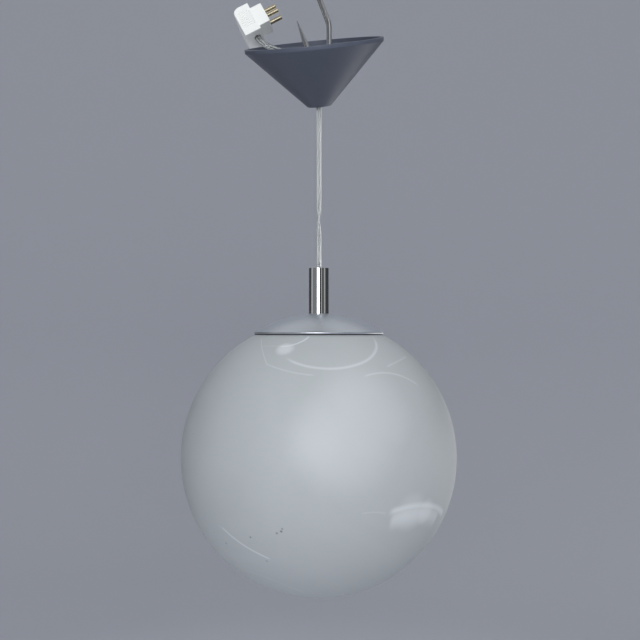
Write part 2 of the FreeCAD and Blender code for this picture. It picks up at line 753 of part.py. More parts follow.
def make_neck():
    """The chrome tube, the plastic bush in its mouth, the flex grip and its screw, and the nipple."""
    inner = neck_radius - neck_wall
    tube = turned("neck_tube", [
        (nipple_radius + thread_gap, 0), (neck_radius, 0), (neck_radius, neck_height - neck_lip_radius),
        Arc(neck_lip_radius, 1), (neck_radius - neck_lip_radius, neck_height), (inner, neck_height),
        (inner, neck_floor), (nipple_radius + thread_gap, neck_floor),
    ], z=neck_bottom)
    grip_bottom = neck_floor + nipple_rise + grip_gap
    hole = new_sketch(tube, "XZ")
    draw_circle(hole, 0, grip_bottom + grip_height / 2, grip_screw_radius + screw_hole_gap)
    pocket(tube, hole, neck_radius + 1)

    bush = turned("neck_bush", [
        (0, 0), (inner - bush_gap, 0), (inner - bush_gap, bush_height - neck_lip_radius),
        (inner - bush_gap - neck_lip_radius, bush_height), (0, bush_height),
    ], z=neck_top - bush_recess - bush_height)
    slot = new_sketch(bush, "XY")
    draw(slot, stadium(flex_width + 2 * bush_gap, flex_thickness + 2 * bush_gap))
    pocket(bush, slot, backwards=True)

    grip = turned("cord_grip", [
        (0, 0), (inner - grip_gap, 0), (inner - grip_gap, grip_height), (0, grip_height),
    ], z=neck_bottom + grip_bottom)
    slot = new_sketch(grip, "XY")
    draw(slot, stadium(flex_width + 2 * bush_gap, flex_thickness + 2 * bush_gap))
    pocket(grip, slot, backwards=True)
    hole = new_sketch(grip, "XZ")
    draw_circle(hole, 0, grip_height / 2, grip_screw_radius + thread_gap)
    pocket(grip, hole, neck_radius)

    start = flex_thickness / 2 + grip_screw_gap
    screw = cylinder("grip_screw", grip_screw_radius, neck_radius - start - grip_screw_gap, 0,
                     neck_radius - grip_screw_gap, neck_bottom + grip_bottom + grip_height / 2,
                     "create(<<rotation>>; create(<<vector>>; 1; 0; 0); 90)")
    label(screw, "grip_screw")

    nipple_bottom = holder_top - holder_boss_height - holder_wall
    turned("threaded_nipple", [
        (nipple_bore_radius, nipple_bottom - neck_bottom), (nipple_radius, nipple_bottom - neck_bottom),
        (nipple_radius, neck_floor + nipple_rise), (nipple_bore_radius, neck_floor + nipple_rise),
    ], z=neck_bottom)

    inner_flex = new_body("flex_inner")
    section = new_sketch(inner_flex, "XY")
    draw(section, stadium(flex_width, flex_thickness))
    pad(inner_flex, section, neck_top - bush_recess - nipple_bottom + flex_tail_in_holder)
    place(inner_flex, z=nipple_bottom - flex_tail_in_holder)
    label(inner_flex, "flex_inner")


def make_cap():
    """The spun dome with its turned-in flange, and what is stacked on the nipple under it."""
    inner_start = cap_rim_radius - cap_corner_wall
    turned("gallery_cap", [
        (nipple_radius + thread_gap, cap_height - cap_wall), (cap_land_radius, cap_height - cap_wall),
        Arc(cap_dome_radius - cap_wall, -1), (inner_start, cap_flange_thickness),
        (cap_rim_radius - cap_flange_width, cap_flange_thickness), (cap_rim_radius - cap_flange_width, 0),
        (cap_rim_radius, 0), (cap_rim_radius, cap_rim_depth), Arc(cap_dome_radius, 1),
        (cap_land_radius, cap_height), (nipple_radius + thread_gap, cap_height),
    ], z=cap_rim)
    turned("cap_seal", [
        (cap_rim_radius - cap_flange_width + seal_inset, 0), (cap_rim_radius - seal_inset, 0),
        (cap_rim_radius - seal_inset, seal_thickness),
        (cap_rim_radius - cap_flange_width + seal_inset, seal_thickness),
    ], z=cap_rim - seal_thickness)
    turned("lock_washer", [
        (nipple_radius + thread_gap, 0), (washer_radius, 0), (washer_radius, washer_thickness),
        (nipple_radius + thread_gap, washer_thickness),
    ], z=locknut_top)
    nut = new_body("cap_locknut")
    section = new_sketch(nut, "XY")
    corner = locknut_flats / root(as_size(3))
    ring = [(corner, 0), (corner / 2, locknut_flats / 2), (-corner / 2, locknut_flats / 2),
            (-corner, 0), (-corner / 2, -locknut_flats / 2), (corner / 2, -locknut_flats / 2)]
    draw(section, ring)
    draw_circle(section, 0, 0, nipple_radius + thread_gap)
    pad(nut, section, locknut_height)
    place(nut, z=clip_plate_top)
    label(nut, "cap_locknut")


def ring_of_copies(name, source, count, first_angle):
    """Copies of one piece set round the lamp's axis."""
    doc.recompute()
    copies = []
    for index in range(count):
        shape = source.Shape.copy()
        shape.rotate(Vector(0, 0, 0), Vector(0, 0, 1), first_angle + index * 360 / count)
        copies.append(shape)
    ring = doc.addObject("Part::Feature", name)
    ring.Shape = Part.makeCompound(copies)
    return label(ring, name)


def make_clips():
    """A round plate on the nipple with three riveted leaf springs, which reach through the globe's mouth."""
    plate = turned("clip_plate", [
        (nipple_radius + thread_gap, 0), (clip_plate_radius, 0), (clip_plate_radius, clip_plate_thickness),
        (nipple_radius + thread_gap, clip_plate_thickness),
    ], z=holder_top)
    holes = new_sketch(plate, "XY")
    for angle in (90, 210, 330):
        draw_circle(holes, rivet_circle_radius * cosine(as_size(angle)),
                    rivet_circle_radius * sine(as_size(angle)), rivet_radius + thread_gap)
    pocket(plate, holes, backwards=True)

    half = clip_thickness / 2
    centre = glass_top - root(globe_radius * globe_radius - globe_mouth_radius * globe_mouth_radius)
    bear_radius = globe_radius - globe_wall - clip_glass_gap - half
    inner_mouth = root((globe_radius - globe_wall) * (globe_radius - globe_wall)
                       - (glass_top - centre) * (glass_top - centre))
    neck = inner_mouth - clip_mouth_gap - half
    line = [
        (clip_foot_start.number, (holder_top - half).number),
        (clip_foot_end.number, (holder_top - half).number),
        ((neck - clip_shoulder_lean).number, (glass_top + clip_shoulder_rise).number),
        (neck.number, (glass_top + clip_neck_start).number),
        (neck.number, (glass_top - clip_neck_end).number),
    ]
    for depth in (clip_bear_start, clip_bear_end):
        level = glass_top - depth - centre
        line.append((root(bear_radius * bear_radius - level * level).number, (glass_top - depth).number))
    line.append((line[-1][0] - clip_tail_lean.number, line[-1][1] - clip_tail_length.number))
    wire = Part.makePolygon([Vector(x, 0, z) for x, z in line])
    strip = wire.makeOffset2D(clip_thickness.number / 2, 1, True, True)
    other = wire.makeOffset2D(-clip_thickness.number / 2, 1, True, True)
    width = Vector(0, clip_width.number, 0)
    leaf = strip.extrude(width).fuse(other.extrude(width)).removeSplitter()
    leaf.translate(Vector(0, -clip_width.number / 2, 0))
    hole = Part.makeCylinder((rivet_radius + thread_gap).number, 4 * clip_thickness.number,
                             Vector(rivet_circle_radius.number, 0, (holder_top - 2 * clip_thickness).number))
    source = doc.addObject("Part::Feature", "clip_leaf")
    source.Shape = leaf.cut(hole)
    ring_of_copies("spring_clips", source, 3, 90)

    stack = clip_plate_thickness + clip_thickness
    rivet = fuse("clip_rivet", [
        cylinder("rivet_stem", rivet_radius, stack, rivet_circle_radius, 0, holder_top - clip_thickness),
        cylinder("rivet_upper_head", rivet_head_radius, rivet_head_height, rivet_circle_radius, 0,
                 clip_plate_top),
        cylinder("rivet_lower_head", rivet_head_radius, rivet_head_height, rivet_circle_radius, 0,
                 holder_top - clip_thickness - rivet_head_height),
    ])
    ring_of_copies("clip_rivets", rivet, 3, 90)


def make_globe():
    """The glass: a sphere with a ground mouth at the top."""
    drop = root(globe_radius * globe_radius - globe_mouth_radius * globe_mouth_radius)
    inner = globe_radius - globe_wall
    turned("globe", [
        (0, -globe_radius), Arc(globe_radius, 1), (globe_radius, 0), Arc(globe_radius, 1),
        (globe_mouth_radius, drop), (root(inner * inner - drop * drop), drop), Arc(inner, -1),
        (inner, 0), Arc(inner, -1), (0, -inner),
    ], z=glass_top - drop)


def make_holder():
    """The lamp holder: its cap on the nipple, the insert with the live parts, the screw shell, the skirt."""
    boss = holder_boss_height
    shoulder = boss + holder_shoulder
    hole = nipple_radius + thread_gap
    turned("holder_cap", [
        (hole, 0), (holder_boss_radius, 0), (holder_boss_radius, -boss), (holder_radius, -shoulder),
        (holder_radius, -holder_cap_height), (holder_radius - holder_wall, -holder_cap_height),
        (holder_radius - holder_wall, -shoulder - holder_wall / 2),
        (holder_boss_radius, -boss - holder_wall), (hole, -boss - holder_wall),
    ], z=holder_top)
    turned("holder_skirt", [
        (shell_radius + holder_wall / 4, -skirt_height), (holder_radius - skirt_lip / 2, -skirt_height),
        (holder_radius, -skirt_height + skirt_lip), (holder_radius, 0), (holder_radius - skirt_wall, 0),
        (holder_radius - skirt_wall, -skirt_height + skirt_floor),
        (shell_radius + holder_wall / 4, -skirt_height + skirt_floor),
    ], z=holder_split)
    insert = new_body("terminal_insert")
    section = new_sketch(insert, "XY")
    draw_circle(section, 0, 0, holder_radius - holder_wall - insert_gap)
    for side in (-1, 1):
        draw_circle(section, terminal_spacing * side, 0, terminal_screw_radius + screw_hole_gap)
    pad(insert, section, insert_height)
    place(insert, z=holder_split)
    label(insert, "terminal_insert")
    inner = shell_radius - shell_wall
    turned("screw_shell", [
        (inner, -shell_height), (shell_radius, -shell_height), (shell_radius, 0), (shell_floor_radius, 0),
        (shell_floor_radius, -shell_wall), (inner, -shell_wall),
    ], z=holder_split)

    screws = []
    for index, side in enumerate((-1, 1)):
        shank = cylinder(f"terminal_shank_{index}", terminal_screw_radius, insert_height - terminal_floor,
                         terminal_spacing * side, 0, holder_split + terminal_floor)
        head = cylinder(f"terminal_head_{index}", terminal_head_radius, terminal_head_height,
                        terminal_spacing * side, 0, holder_split + insert_height)
        screws.append(fuse(f"terminal_screw_{index}", [shank, head]))
    label(group("terminal_screw_pair", screws), "terminal_screws")

    tongue = new_body("centre_contact")
    side_way = new_sketch(tongue, "XZ")
    reach = shell_floor_radius - contact_margin
    draw(side_way, [
        (-reach, -contact_thickness), (reach / 2, -contact_spring_drop - contact_thickness),
        (reach / 2 + contact_bevel, -contact_spring_drop), (-reach, 0),
    ])
    pad(tongue, side_way, contact_width, both_ways=True)
    place(tongue, z=holder_split)
    label(tongue, "centre_contact")

    nipple_bottom = holder_top - boss - holder_wall
    flex_end = (nipple_bottom - flex_tail_in_holder).number
    top = (holder_split + insert_height + terminal_head_height).number
    leads = []
    for side in (-1, 1):
        near = side * strand_pitch.number / 2
        far = side * terminal_spacing.number
        leads.append(tube_along([
            (near, 0, flex_end), (near, 0, flex_end - lead_straight.number),
            (far, 0, top + lead_straight.number), (far, 0, top),
        ], lead_radius.number))
    wires = doc.addObject("Part::Feature", "lead_wires")
    wires.Shape = Part.makeCompound(leads)
    label(wires, "lead_wires")


def make_bulb():
    """A globe-lamp bulb: contact, insulator, threaded cap, moulded collar and pear-shaped envelope."""
    top = holder_split - contact_spring_drop - contact_thickness - bulb_contact_gap
    insulator = bulb_insulator_length
    cap_end = insulator + bulb_cap_length
    collar_end = cap_end + bulb_collar_length
    inner = bulb_cap_radius - bulb_cap_wall
    seat = -contact_thickness - bulb_contact_rim - bulb_insulator_gap
    turned("bulb_contact", [
        (0, -contact_thickness), (bulb_contact_radius, -contact_thickness - bulb_contact_rim),
        (bulb_contact_radius - bulb_contact_bevel, 0), (0, 0),
    ], z=top)
    turned("bulb_insulator", [
        (0, -insulator), (inner - thread_depth, -insulator),
        (bulb_contact_radius + bulb_contact_rim, seat), (0, seat),
    ], z=top)
    ridges = []
    turns = 5
    root_radius = bulb_cap_radius - thread_depth
    for index in range(turns):
        level = -insulator - thread_pitch * (index + 0.5)
        ridges.append((root_radius, level + thread_pitch / 2))
        ridges.append((bulb_cap_radius, level))
    cap_way = list(ridges)
    cap_way.append((root_radius, -insulator - thread_pitch * turns))
    cap_way.append((bulb_cap_radius, -cap_end))
    cap_way.append((root_radius - bulb_cap_wall, -cap_end))
    cap_way.append((root_radius - bulb_cap_wall, -insulator))
    turned("bulb_cap", cap_way, z=top)
    turned("bulb_collar", [
        (0, -collar_end), (bulb_collar_radius, -collar_end),
        Arc(bulb_collar_bow, -1), (bulb_cap_radius + bulb_collar_step, -cap_end),
        (root_radius - bulb_cap_wall - thread_gap, -cap_end),
        (root_radius - bulb_cap_wall - thread_gap, -insulator - bulb_collar_spigot),
        (0, -insulator - bulb_collar_spigot),
    ], z=top)
    outer = bulb_radius
    hollow = bulb_radius - bulb_wall
    seat = bulb_collar_radius
    rise = root(outer * outer - seat * seat)
    inner_seat = root(hollow * hollow - rise * rise)
    turned("bulb_glass", [
        (0, -outer), Arc(outer, 1), (outer, 0), Arc(outer, 1), (seat, rise), (inner_seat, rise),
        Arc(hollow, -1), (hollow, 0), Arc(hollow, -1), (0, -hollow),
    ], z=top - collar_end - rise)


plug_face_middle = plug_face_inset + plug_face_width / 2
plug_face_level = (plug_face_bottom + plug_tall - plug_face_top) / 2
plug_screw_across = plug_face_inset + plug_face_width - plug_screw_inset
plug_turn = (f"create(<<rotation>>; create(<<vector>>; 0; 1; 0); 0 - {plug_lean.text})"
             f" * create(<<rotation>>; create(<<vector>>; 1; 0; 0); 0 - {plug_dip.text})")


def at_plug(item, name):
    """Lays a piece of the plug, drawn square, where the plug leans."""
    place(item, plug_x, plug_y, plug_z)
    turn(item, plug_turn)
    return label(item, name)


def plug_pin_spots():
    """Where the pins stand on the face block, with the earth pin out of line towards the viewer."""
    return [(plug_face_middle, plug_face_level - plug_pin_spacing),
            (plug_face_middle - plug_earth_offset, plug_face_level),
            (plug_face_middle, plug_face_level + plug_pin_spacing)]


def rectangle(left, bottom, right, top):
    return [(left, bottom), (right, bottom), (right, top), (left, top)]


def make_plug():
    """The plug: a ribbed cover, a face block with three pins, their terminals and the cover screw."""
    cover = new_body("plug_cover")
    outline = new_sketch(cover, "XZ")
    draw(outline, [
        (0, 0), (plug_depth, 0), (plug_depth, plug_tall), (plug_back_radius, plug_tall),
        Arc(plug_back_radius, 1), (0, plug_tall - plug_back_radius),
    ])
    block = pad(cover, outline, plug_width, backwards=True)
    doc.recompute()
    rounding = cover.newObject("PartDesign::Fillet", "plug_cover_rounding")
    names = []
    for index, edge in enumerate(block.Shape.Edges):
        middle = edge.CenterOfMass
        on_a_side = abs(middle.y - plug_width.number / 2) > plug_edge_radius.number
        at_the_heel = max(middle.x, middle.z) < plug_edge_radius.number
        if middle.x < plug_depth.number - plug_edge_radius.number and (on_a_side or at_the_heel):
            names.append(f"Edge{index + 1}")
    rounding.Base = (block, names)
    rounding.setExpression("Radius", plug_edge_radius.text)
    hollow = new_sketch(cover, "XZ", -plug_wall)
    draw(hollow, [
        (plug_wall, plug_wall), (plug_depth + plug_wall, plug_wall),
        (plug_depth + plug_wall, plug_tall - plug_wall), (plug_back_radius, plug_tall - plug_wall),
        Arc(plug_back_radius - plug_wall, 1), (plug_wall, plug_tall - plug_back_radius),
    ])
    pocket(cover, hollow, plug_width - 2 * plug_wall)
    hole = new_sketch(cover, "XY")
    draw_circle(hole, plug_cord_hole_depth, plug_cord_hole_across, plug_cord_hole_radius)
    pocket(cover, hole, plug_wall + 1, backwards=True)
    first = plug_tall / 2 - plug_rib_pitch * (plug_rib_count - 1) / 2
    grooves = new_sketch(cover, "XZ")
    for index in range(int(plug_rib_count.number)):
        level = first + plug_rib_pitch * index
        draw(grooves, rectangle(plug_wall, level - plug_rib_width / 2, plug_depth - plug_wall,
                                level + plug_rib_width / 2))
    pocket(cover, grooves, plug_rib_depth)
    at_plug(cover, "plug_cover")

    face = new_body("plug_face")
    outline = new_sketch(face, "YZ", plug_depth - plug_spigot_depth)
    rim = plug_wall + plug_spigot_gap
    draw(outline, rectangle(rim, rim, plug_width - rim, plug_tall - rim))
    pad(face, outline, plug_spigot_depth)
    outline = new_sketch(face, "YZ", plug_depth)
    draw(outline, rectangle(plug_face_inset, plug_face_bottom, plug_face_inset + plug_face_width,
                            plug_tall - plug_face_top))
    pad(face, outline, plug_face_depth)
    holes = new_sketch(face, "YZ", plug_depth - plug_spigot_depth)
    for across, level in plug_pin_spots():
        draw_circle(holes, across, level, plug_stem_radius + thread_gap)
    draw_circle(holes, plug_screw_across, plug_face_level, plug_screw_radius + screw_hole_gap)
    pocket(face, holes, plug_spigot_depth + plug_face_depth + 1, backwards=True)
    at_plug(face, "plug_face")


def make_plug_metal():
    """Pins, terminals and cover screw, each drawn square and then laid with the plug."""
    face_end = plug_depth + plug_face_depth
    root_x = plug_depth - plug_spigot_depth - plug_terminal_size / 2 - plug_terminal_gap
    along = "create(<<rotation>>; create(<<vector>>; 0; 1; 0); 90)"
    pins = []
    terminals = []
    for index, (across, level) in enumerate(plug_pin_spots()):
        shank = cylinder(f"plug_pin_shank_{index}", plug_pin_radius, plug_pin_length, face_end, across,
                         level, along)
        stem = cylinder(f"plug_pin_stem_{index}", plug_stem_radius, face_end - root_x, root_x, across,
                        level, along)
        pins.append(fuse(f"plug_pin_{index}", [stem, shank]))
        half = plug_terminal_size / 2
        lump = box(f"plug_terminal_block_{index}", plug_terminal_size, plug_terminal_size,
                   plug_terminal_size, root_x - half, across - half, level - half)
        bore = cylinder(f"plug_terminal_bore_{index}", plug_stem_radius + thread_gap, plug_terminal_size,
                        root_x, across, level, along)
        terminals.append(cut(f"plug_terminal_{index}", lump, bore))
    at_plug(group("plug_pin_set", pins), "plug_pins")
    at_plug(group("plug_terminal_set", terminals), "plug_terminals")
    screw = fuse("plug_screw_parts", [
        cylinder("plug_screw_shank", plug_screw_radius, face_end - plug_wall, plug_wall,
                 plug_screw_across, plug_face_level, along),
        cylinder("plug_screw_head", plug_screw_head_radius, plug_screw_radius, face_end,
                 plug_screw_across, plug_face_level, along),
    ])
    at_plug(screw, "plug_cover_screw")


make_hook()
make_hanger()
make_held_flex()
make_tail()
make_hanging_flex()
make_bush_and_canopy()
make_neck()
make_cap()
make_clips()
make_globe()
make_holder()
make_bulb()
make_plug()
make_plug_metal()
doc.recompute()

os.makedirs("parts", exist_ok=True)
for item in doc.Objects:
    if "Invalid" in item.State or "Error" in item.State:
        raise RuntimeError(f"{item.Name} failed: {item.State}")
for item in nodes:
    if item.Shape.isNull() or not item.Shape.isValid():
        raise RuntimeError(f"{item.Label}: no valid shape")
    item.Shape.exportStep(f"parts/{item.Label}.step")
    print(f"{item.Label:20s} {len(item.Shape.Solids)} solid(s) {item.Shape.Volume:10.1f} mm3")
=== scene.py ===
import json
import math

import bmesh
import bpy
from mathutils import Matrix, Vector

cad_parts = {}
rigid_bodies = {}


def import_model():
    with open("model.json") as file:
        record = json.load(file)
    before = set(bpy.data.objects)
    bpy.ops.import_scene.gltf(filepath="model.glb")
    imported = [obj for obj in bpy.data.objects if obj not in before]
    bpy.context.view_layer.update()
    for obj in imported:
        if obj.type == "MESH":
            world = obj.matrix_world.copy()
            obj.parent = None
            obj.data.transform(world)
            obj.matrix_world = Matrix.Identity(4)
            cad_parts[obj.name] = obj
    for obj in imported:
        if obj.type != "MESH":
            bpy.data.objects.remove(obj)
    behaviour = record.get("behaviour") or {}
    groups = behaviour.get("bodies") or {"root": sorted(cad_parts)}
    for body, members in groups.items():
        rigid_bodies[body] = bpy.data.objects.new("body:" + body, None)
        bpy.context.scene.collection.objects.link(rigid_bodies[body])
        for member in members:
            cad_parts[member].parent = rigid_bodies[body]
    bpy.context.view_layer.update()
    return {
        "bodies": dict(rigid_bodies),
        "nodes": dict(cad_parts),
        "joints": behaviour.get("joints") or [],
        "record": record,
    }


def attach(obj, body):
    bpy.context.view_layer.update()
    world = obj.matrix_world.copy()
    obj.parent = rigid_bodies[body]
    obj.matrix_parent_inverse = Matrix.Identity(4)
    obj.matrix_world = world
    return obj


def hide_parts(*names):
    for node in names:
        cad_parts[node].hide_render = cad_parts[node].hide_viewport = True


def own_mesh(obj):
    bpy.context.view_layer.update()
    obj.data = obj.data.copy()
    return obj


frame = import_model()
cad = frame["nodes"]


# The picture: the lamp hangs in a round pale room, and the camera stands level with the cap, a little
# under 0.7 m in front of it.  The picture is 640 by 640, and its horizon lies 14 pixels under its middle.
picture_size = 640
horizon_drop = 14

view = bpy.data.cameras.new("view")
view.sensor_width = 36.0
view.lens = 42.0
view.shift_y = horizon_drop / picture_size
view.clip_start = 0.01
camera = bpy.data.objects.new("camera", view)
camera.location = (0.0011, -0.688, -0.344)
camera.rotation_euler = (math.pi / 2, 0, 0)
bpy.context.scene.collection.objects.link(camera)
bpy.context.scene.camera = camera
bpy.context.scene.view_settings.view_transform = "Standard"


def node(tree, kind, sockets, **settings):
    """A shader node with its settings, and with each socket linked or given a value."""
    made = tree.nodes.new(kind)
    for name, value in settings.items():
        setattr(made, name, value)
    for name, value in sockets.items():
        if isinstance(value, bpy.types.NodeSocket):
            tree.links.new(value, made.inputs[name])
        else:
            made.inputs[name].default_value = value
    return made


def surface(name, colour, roughness, metallic=0.0, **sockets):
    """A material with one Principled shader, and its plain values on the shader's own sockets."""
    material = bpy.data.materials.new(name)
    material.use_nodes = True
    shader = material.node_tree.nodes["Principled BSDF"]
    shader.inputs["Base Color"].default_value = (*colour, 1)
    shader.inputs["Roughness"].default_value = roughness
    shader.inputs["Metallic"].default_value = metallic
    for socket, value in sockets.items():
        shader.inputs[socket.replace("_", " ")].default_value = value
    return material


sharp_angle = math.radians(35)


def settle_order(bm):
    """Sets the order of corners and faces by their places: Blender's operators leave another one each run."""
    for index, vert in enumerate(sorted(bm.verts, key=lambda vert: tuple(vert.co))):
        vert.index = index
    bm.verts.sort()
    faces = sorted(bm.faces, key=lambda face: sorted(vert.index for vert in face.verts))
    for index, face in enumerate(faces):
        face.index = index
    bm.faces.sort()


def shown(bm, name, material):
    """A bmesh as an object at the origin, smooth except at its sharp edges."""
    mesh = bpy.data.meshes.new(name)
    settle_order(bm)
    bm.to_mesh(mesh)
    bm.free()
    mesh.shade_smooth()
    mesh.set_sharp_from_angle(angle=sharp_angle)
    mesh.materials.append(material)
    made = bpy.data.objects.new(name, mesh)
    bpy.context.scene.collection.objects.link(made)
    return made


def outline(start, *ways, closed=False):
    """A half section in the XZ plane: a way is the next corner, or the centre, angle and steps of an arc."""
    bm = bmesh.new()
    first = bm.verts.new((start[0], 0, start[1]))
    tip = first
    for way in ways:
        if len(way) == 2:
            corner = bm.verts.new((way[0], 0, way[1]))
            bm.edges.new((tip, corner))
            tip = corner
        else:
            (x, z), angle, steps = way
            turn = bmesh.ops.spin(bm, geom=[tip], cent=(x, 0, z), axis=(0, -1, 0), dvec=(0, 0, 0),
                                  angle=angle, steps=steps, use_duplicate=False)
            tip = [item for item in turn["geom_last"] if isinstance(item, bmesh.types.BMVert)][0]
    if closed:
        bm.edges.new((tip, first))
    return bm


def turned(bm, steps):
    """Spins a half section round the lamp's axis into a closed skin."""
    bmesh.ops.spin(bm, geom=bm.verts[:] + bm.edges[:], cent=(0, 0, 0), axis=(0, 0, 1), dvec=(0, 0, 0),
                   angle=2 * math.pi, steps=steps, use_merge=True, use_duplicate=False)
    bmesh.ops.remove_doubles(bm, verts=bm.verts[:], dist=1e-6)
    bmesh.ops.recalc_face_normals(bm, faces=bm.faces[:])
    return bm


def round_edges(bm, sharper_than, radius, segments):
    """Rounds every edge whose faces meet at more than an angle."""
    sharp = [edge for edge in bm.edges if edge.calc_face_angle(0) > math.radians(sharper_than)]
    bmesh.ops.bevel(bm, geom=sharp, offset=radius, segments=segments, profile=0.5, affect="EDGES",
                    material=-1, clamp_overlap=True)


room_paint = surface("room_paint", (0.598, 0.612, 0.656), 0.9)
floor_height = -1.35
room_radius = 3.0
room_cove = 1.0
room_height = 2.2
room = turned(outline((0, floor_height), (room_radius - room_cove, floor_height),
                      ((room_radius - room_cove, floor_height + room_cove), math.pi / 2, 16),
                      (room_radius, room_height)), 96)
shown(room, "room", room_paint)

world = bpy.data.worlds.new("daylight")
world.use_nodes = True
world.node_tree.nodes["Background"].inputs["Color"].default_value = (0.93, 0.96, 1.0, 1)
world.node_tree.nodes["Background"].inputs["Strength"].default_value = 0.5
bpy.context.scene.world = world

# Each lamp has a name, a place, a width and height, a power in watts and a colour.
lamp_aim = Vector((0, 0, -0.38))
for lamp_name, spot, width, height, power, tint in (
        ("key_lamp", (0.75, -1.45, 0.75), 0.9, 0.7, 11.2, (1.0, 0.99, 0.97)),
        ("fill_lamp", (-1.0, -1.4, 0.6), 1.0, 0.7, 5.8, (0.94, 0.97, 1.0)),
        ("front_lamp", (0.15, -1.9, -0.25), 0.8, 0.8, 10.0, (1.0, 1.0, 1.0)),
        ("low_lamp", (-0.5, -0.8, -1.2), 1.2, 1.0, 2.2, (1.0, 1.0, 1.0)),
        ("back_lamp", (-0.5, 1.6, 0.3), 1.0, 1.0, 4.5, (0.97, 0.985, 1.0))):
    light = bpy.data.lights.new(lamp_name, "AREA")
    light.shape = "RECTANGLE"
    light.size = width
    light.size_y = height
    light.energy = power
    light.color = tint
    lamp = bpy.data.objects.new(lamp_name, light)
    lamp.location = spot
    lamp.rotation_euler = (lamp_aim - Vector(spot)).to_track_quat("-Z", "Y").to_euler()
    lamp.visible_glossy = False
    bpy.context.scene.collection.objects.link(lamp)

# Tall screens stand round the lamp for its chrome to mirror, as in a studio.  Each spans two bearings from
# the camera's side, to the right as the camera sees it, and only reflections show it.
screen_distance = 1.7
screen_steps = 12
screen_tint = (0.97, 0.985, 1.0, 1)
neck_level = (-0.30, 0.35)
cone_level = (-1.25, -0.30)
canopy_level = (0.45, 1.05)
for first, last, (low, high), glow in (
        (-20, 8, neck_level, 3.2), (8, 27, neck_level, 0.05), (27, 35, neck_level, 0.50),
        (35, 62, neck_level, 0.10), (62, 80, neck_level, 0.42), (80, 150, neck_level, 0.05),
        (-76, -20, neck_level, 0.22), (-92, -76, neck_level, 0.55), (-150, -92, neck_level, 0.06),
        (18, 42, canopy_level, 1.3), (95, 170, cone_level, 1.0), (-170, -60, cone_level, 0.16)):
    screen = bmesh.new()
    foot = screen.verts.new((0, -screen_distance, low))
    head = screen.verts.new((0, -screen_distance, high))
    edge = screen.edges.new((foot, head))
    bmesh.ops.rotate(screen, cent=(0, 0, 0), matrix=Matrix.Rotation(math.radians(first), 3, "Z"),
                     verts=screen.verts[:])
    bmesh.ops.spin(screen, geom=[foot, head, edge], cent=(0, 0, 0), axis=(0, 0, 1), dvec=(0, 0, 0),
                   angle=math.radians(last - first), steps=screen_steps, use_duplicate=False)
    cloth = surface(f"screen_{first}", (0, 0, 0), 1.0, Emission_Color=screen_tint, Emission_Strength=glow)
    hung = shown(screen, f"screen_{first}", cloth)
    hung.visible_camera = False
    hung.visible_diffuse = False
    hung.visible_transmission = False
    hung.visible_shadow = False


# The flex's free tail: clear PVC flat twin flex with two tinned strands.  It leaves the hanger at a slant,
# crosses the open cone and rises into the plug.  The photograph shows its last centimetres.
tail_route = [
    (-0.00999, 0.0, -0.098235),
    (-0.01687, 0.0, -0.08841),
    (-0.0330, -0.0010, -0.0840),
    (-0.05266, 0.00361, -0.07607),
    (-0.05746, 0.00664, -0.06665),
]
flex_width = 0.0052
flex_thickness = 0.0026
lobe_radius = flex_thickness / 2
strand_radius = 0.0007
strand_pitch = 0.0023
strand_wires = 6
strand_wire_radius = strand_radius / 3
web_angle = math.radians(33)


def spline_points(route, resolution):
    """Points along the smooth spline that has a route's points as its control points."""
    line = bpy.data.curves.new("route", "CURVE")
    line.dimensions = "3D"
    spline = line.splines.new("NURBS")
    spline.points.add(len(route) - 1)
    for point, place in zip(spline.points, route):
        point.co = (*place, 1)
    spline.order_u = 3
    spline.use_endpoint_u = True
    spline.resolution_u = resolution
    holder = bpy.data.objects.new("route", line)
    mesh = bpy.data.meshes.new_from_object(holder)
    points = [vertex.co.copy() for vertex in mesh.vertices]
    bpy.data.objects.remove(holder)
    bpy.data.curves.remove(line)
    bpy.data.meshes.remove(mesh)
    return points


def frames_along(points, across):
    """A place and turn at each point: Z along the line, and X kept as near as it can be to the last one."""
    frames = []
    for index, point in enumerate(points):
        ahead = points[min(index + 1, len(points) - 1)] - points[max(index - 1, 0)]
        ahead.normalize()
        across = (across - ahead * across.dot(ahead)).normalized()
        side = ahead.cross(across)
        turn = Matrix((across, side, ahead)).transposed().to_4x4()
        frames.append(Matrix.Translation(point) @ turn)
    return frames


def follow(bm, ring, frames):
    """Draws a closed ring of edges, made round the origin, along frames, and caps both ends."""
    edges = ring
    verts = list(dict.fromkeys(vert for edge in ring for vert in edge.verts))
    bmesh.ops.transform(bm, matrix=frames[0], verts=verts)
    bmesh.ops.contextual_create(bm, geom=edges)
    for before, here in zip(frames, frames[1:]):
        grown = bmesh.ops.extrude_edge_only(bm, edges=edges)
        verts = [item for item in grown["geom"] if isinstance(item, bmesh.types.BMVert)]
        fresh = set(verts)
        edges = [item for item in grown["geom"] if isinstance(item, bmesh.types.BMEdge)
                 and fresh.issuperset(item.verts)]
        bmesh.ops.transform(bm, matrix=here @ before.inverted(), verts=verts)
    bmesh.ops.contextual_create(bm, geom=edges)


def circle(bm, radius, sides, x=0.0):
    """The edges of a circle round a place on the X axis."""
    ring = bmesh.ops.create_circle(bm, segments=sides, radius=radius, matrix=Matrix.Translation((x, 0, 0)))
    return list(dict.fromkeys(edge for vert in ring["verts"] for edge in vert.link_edges))


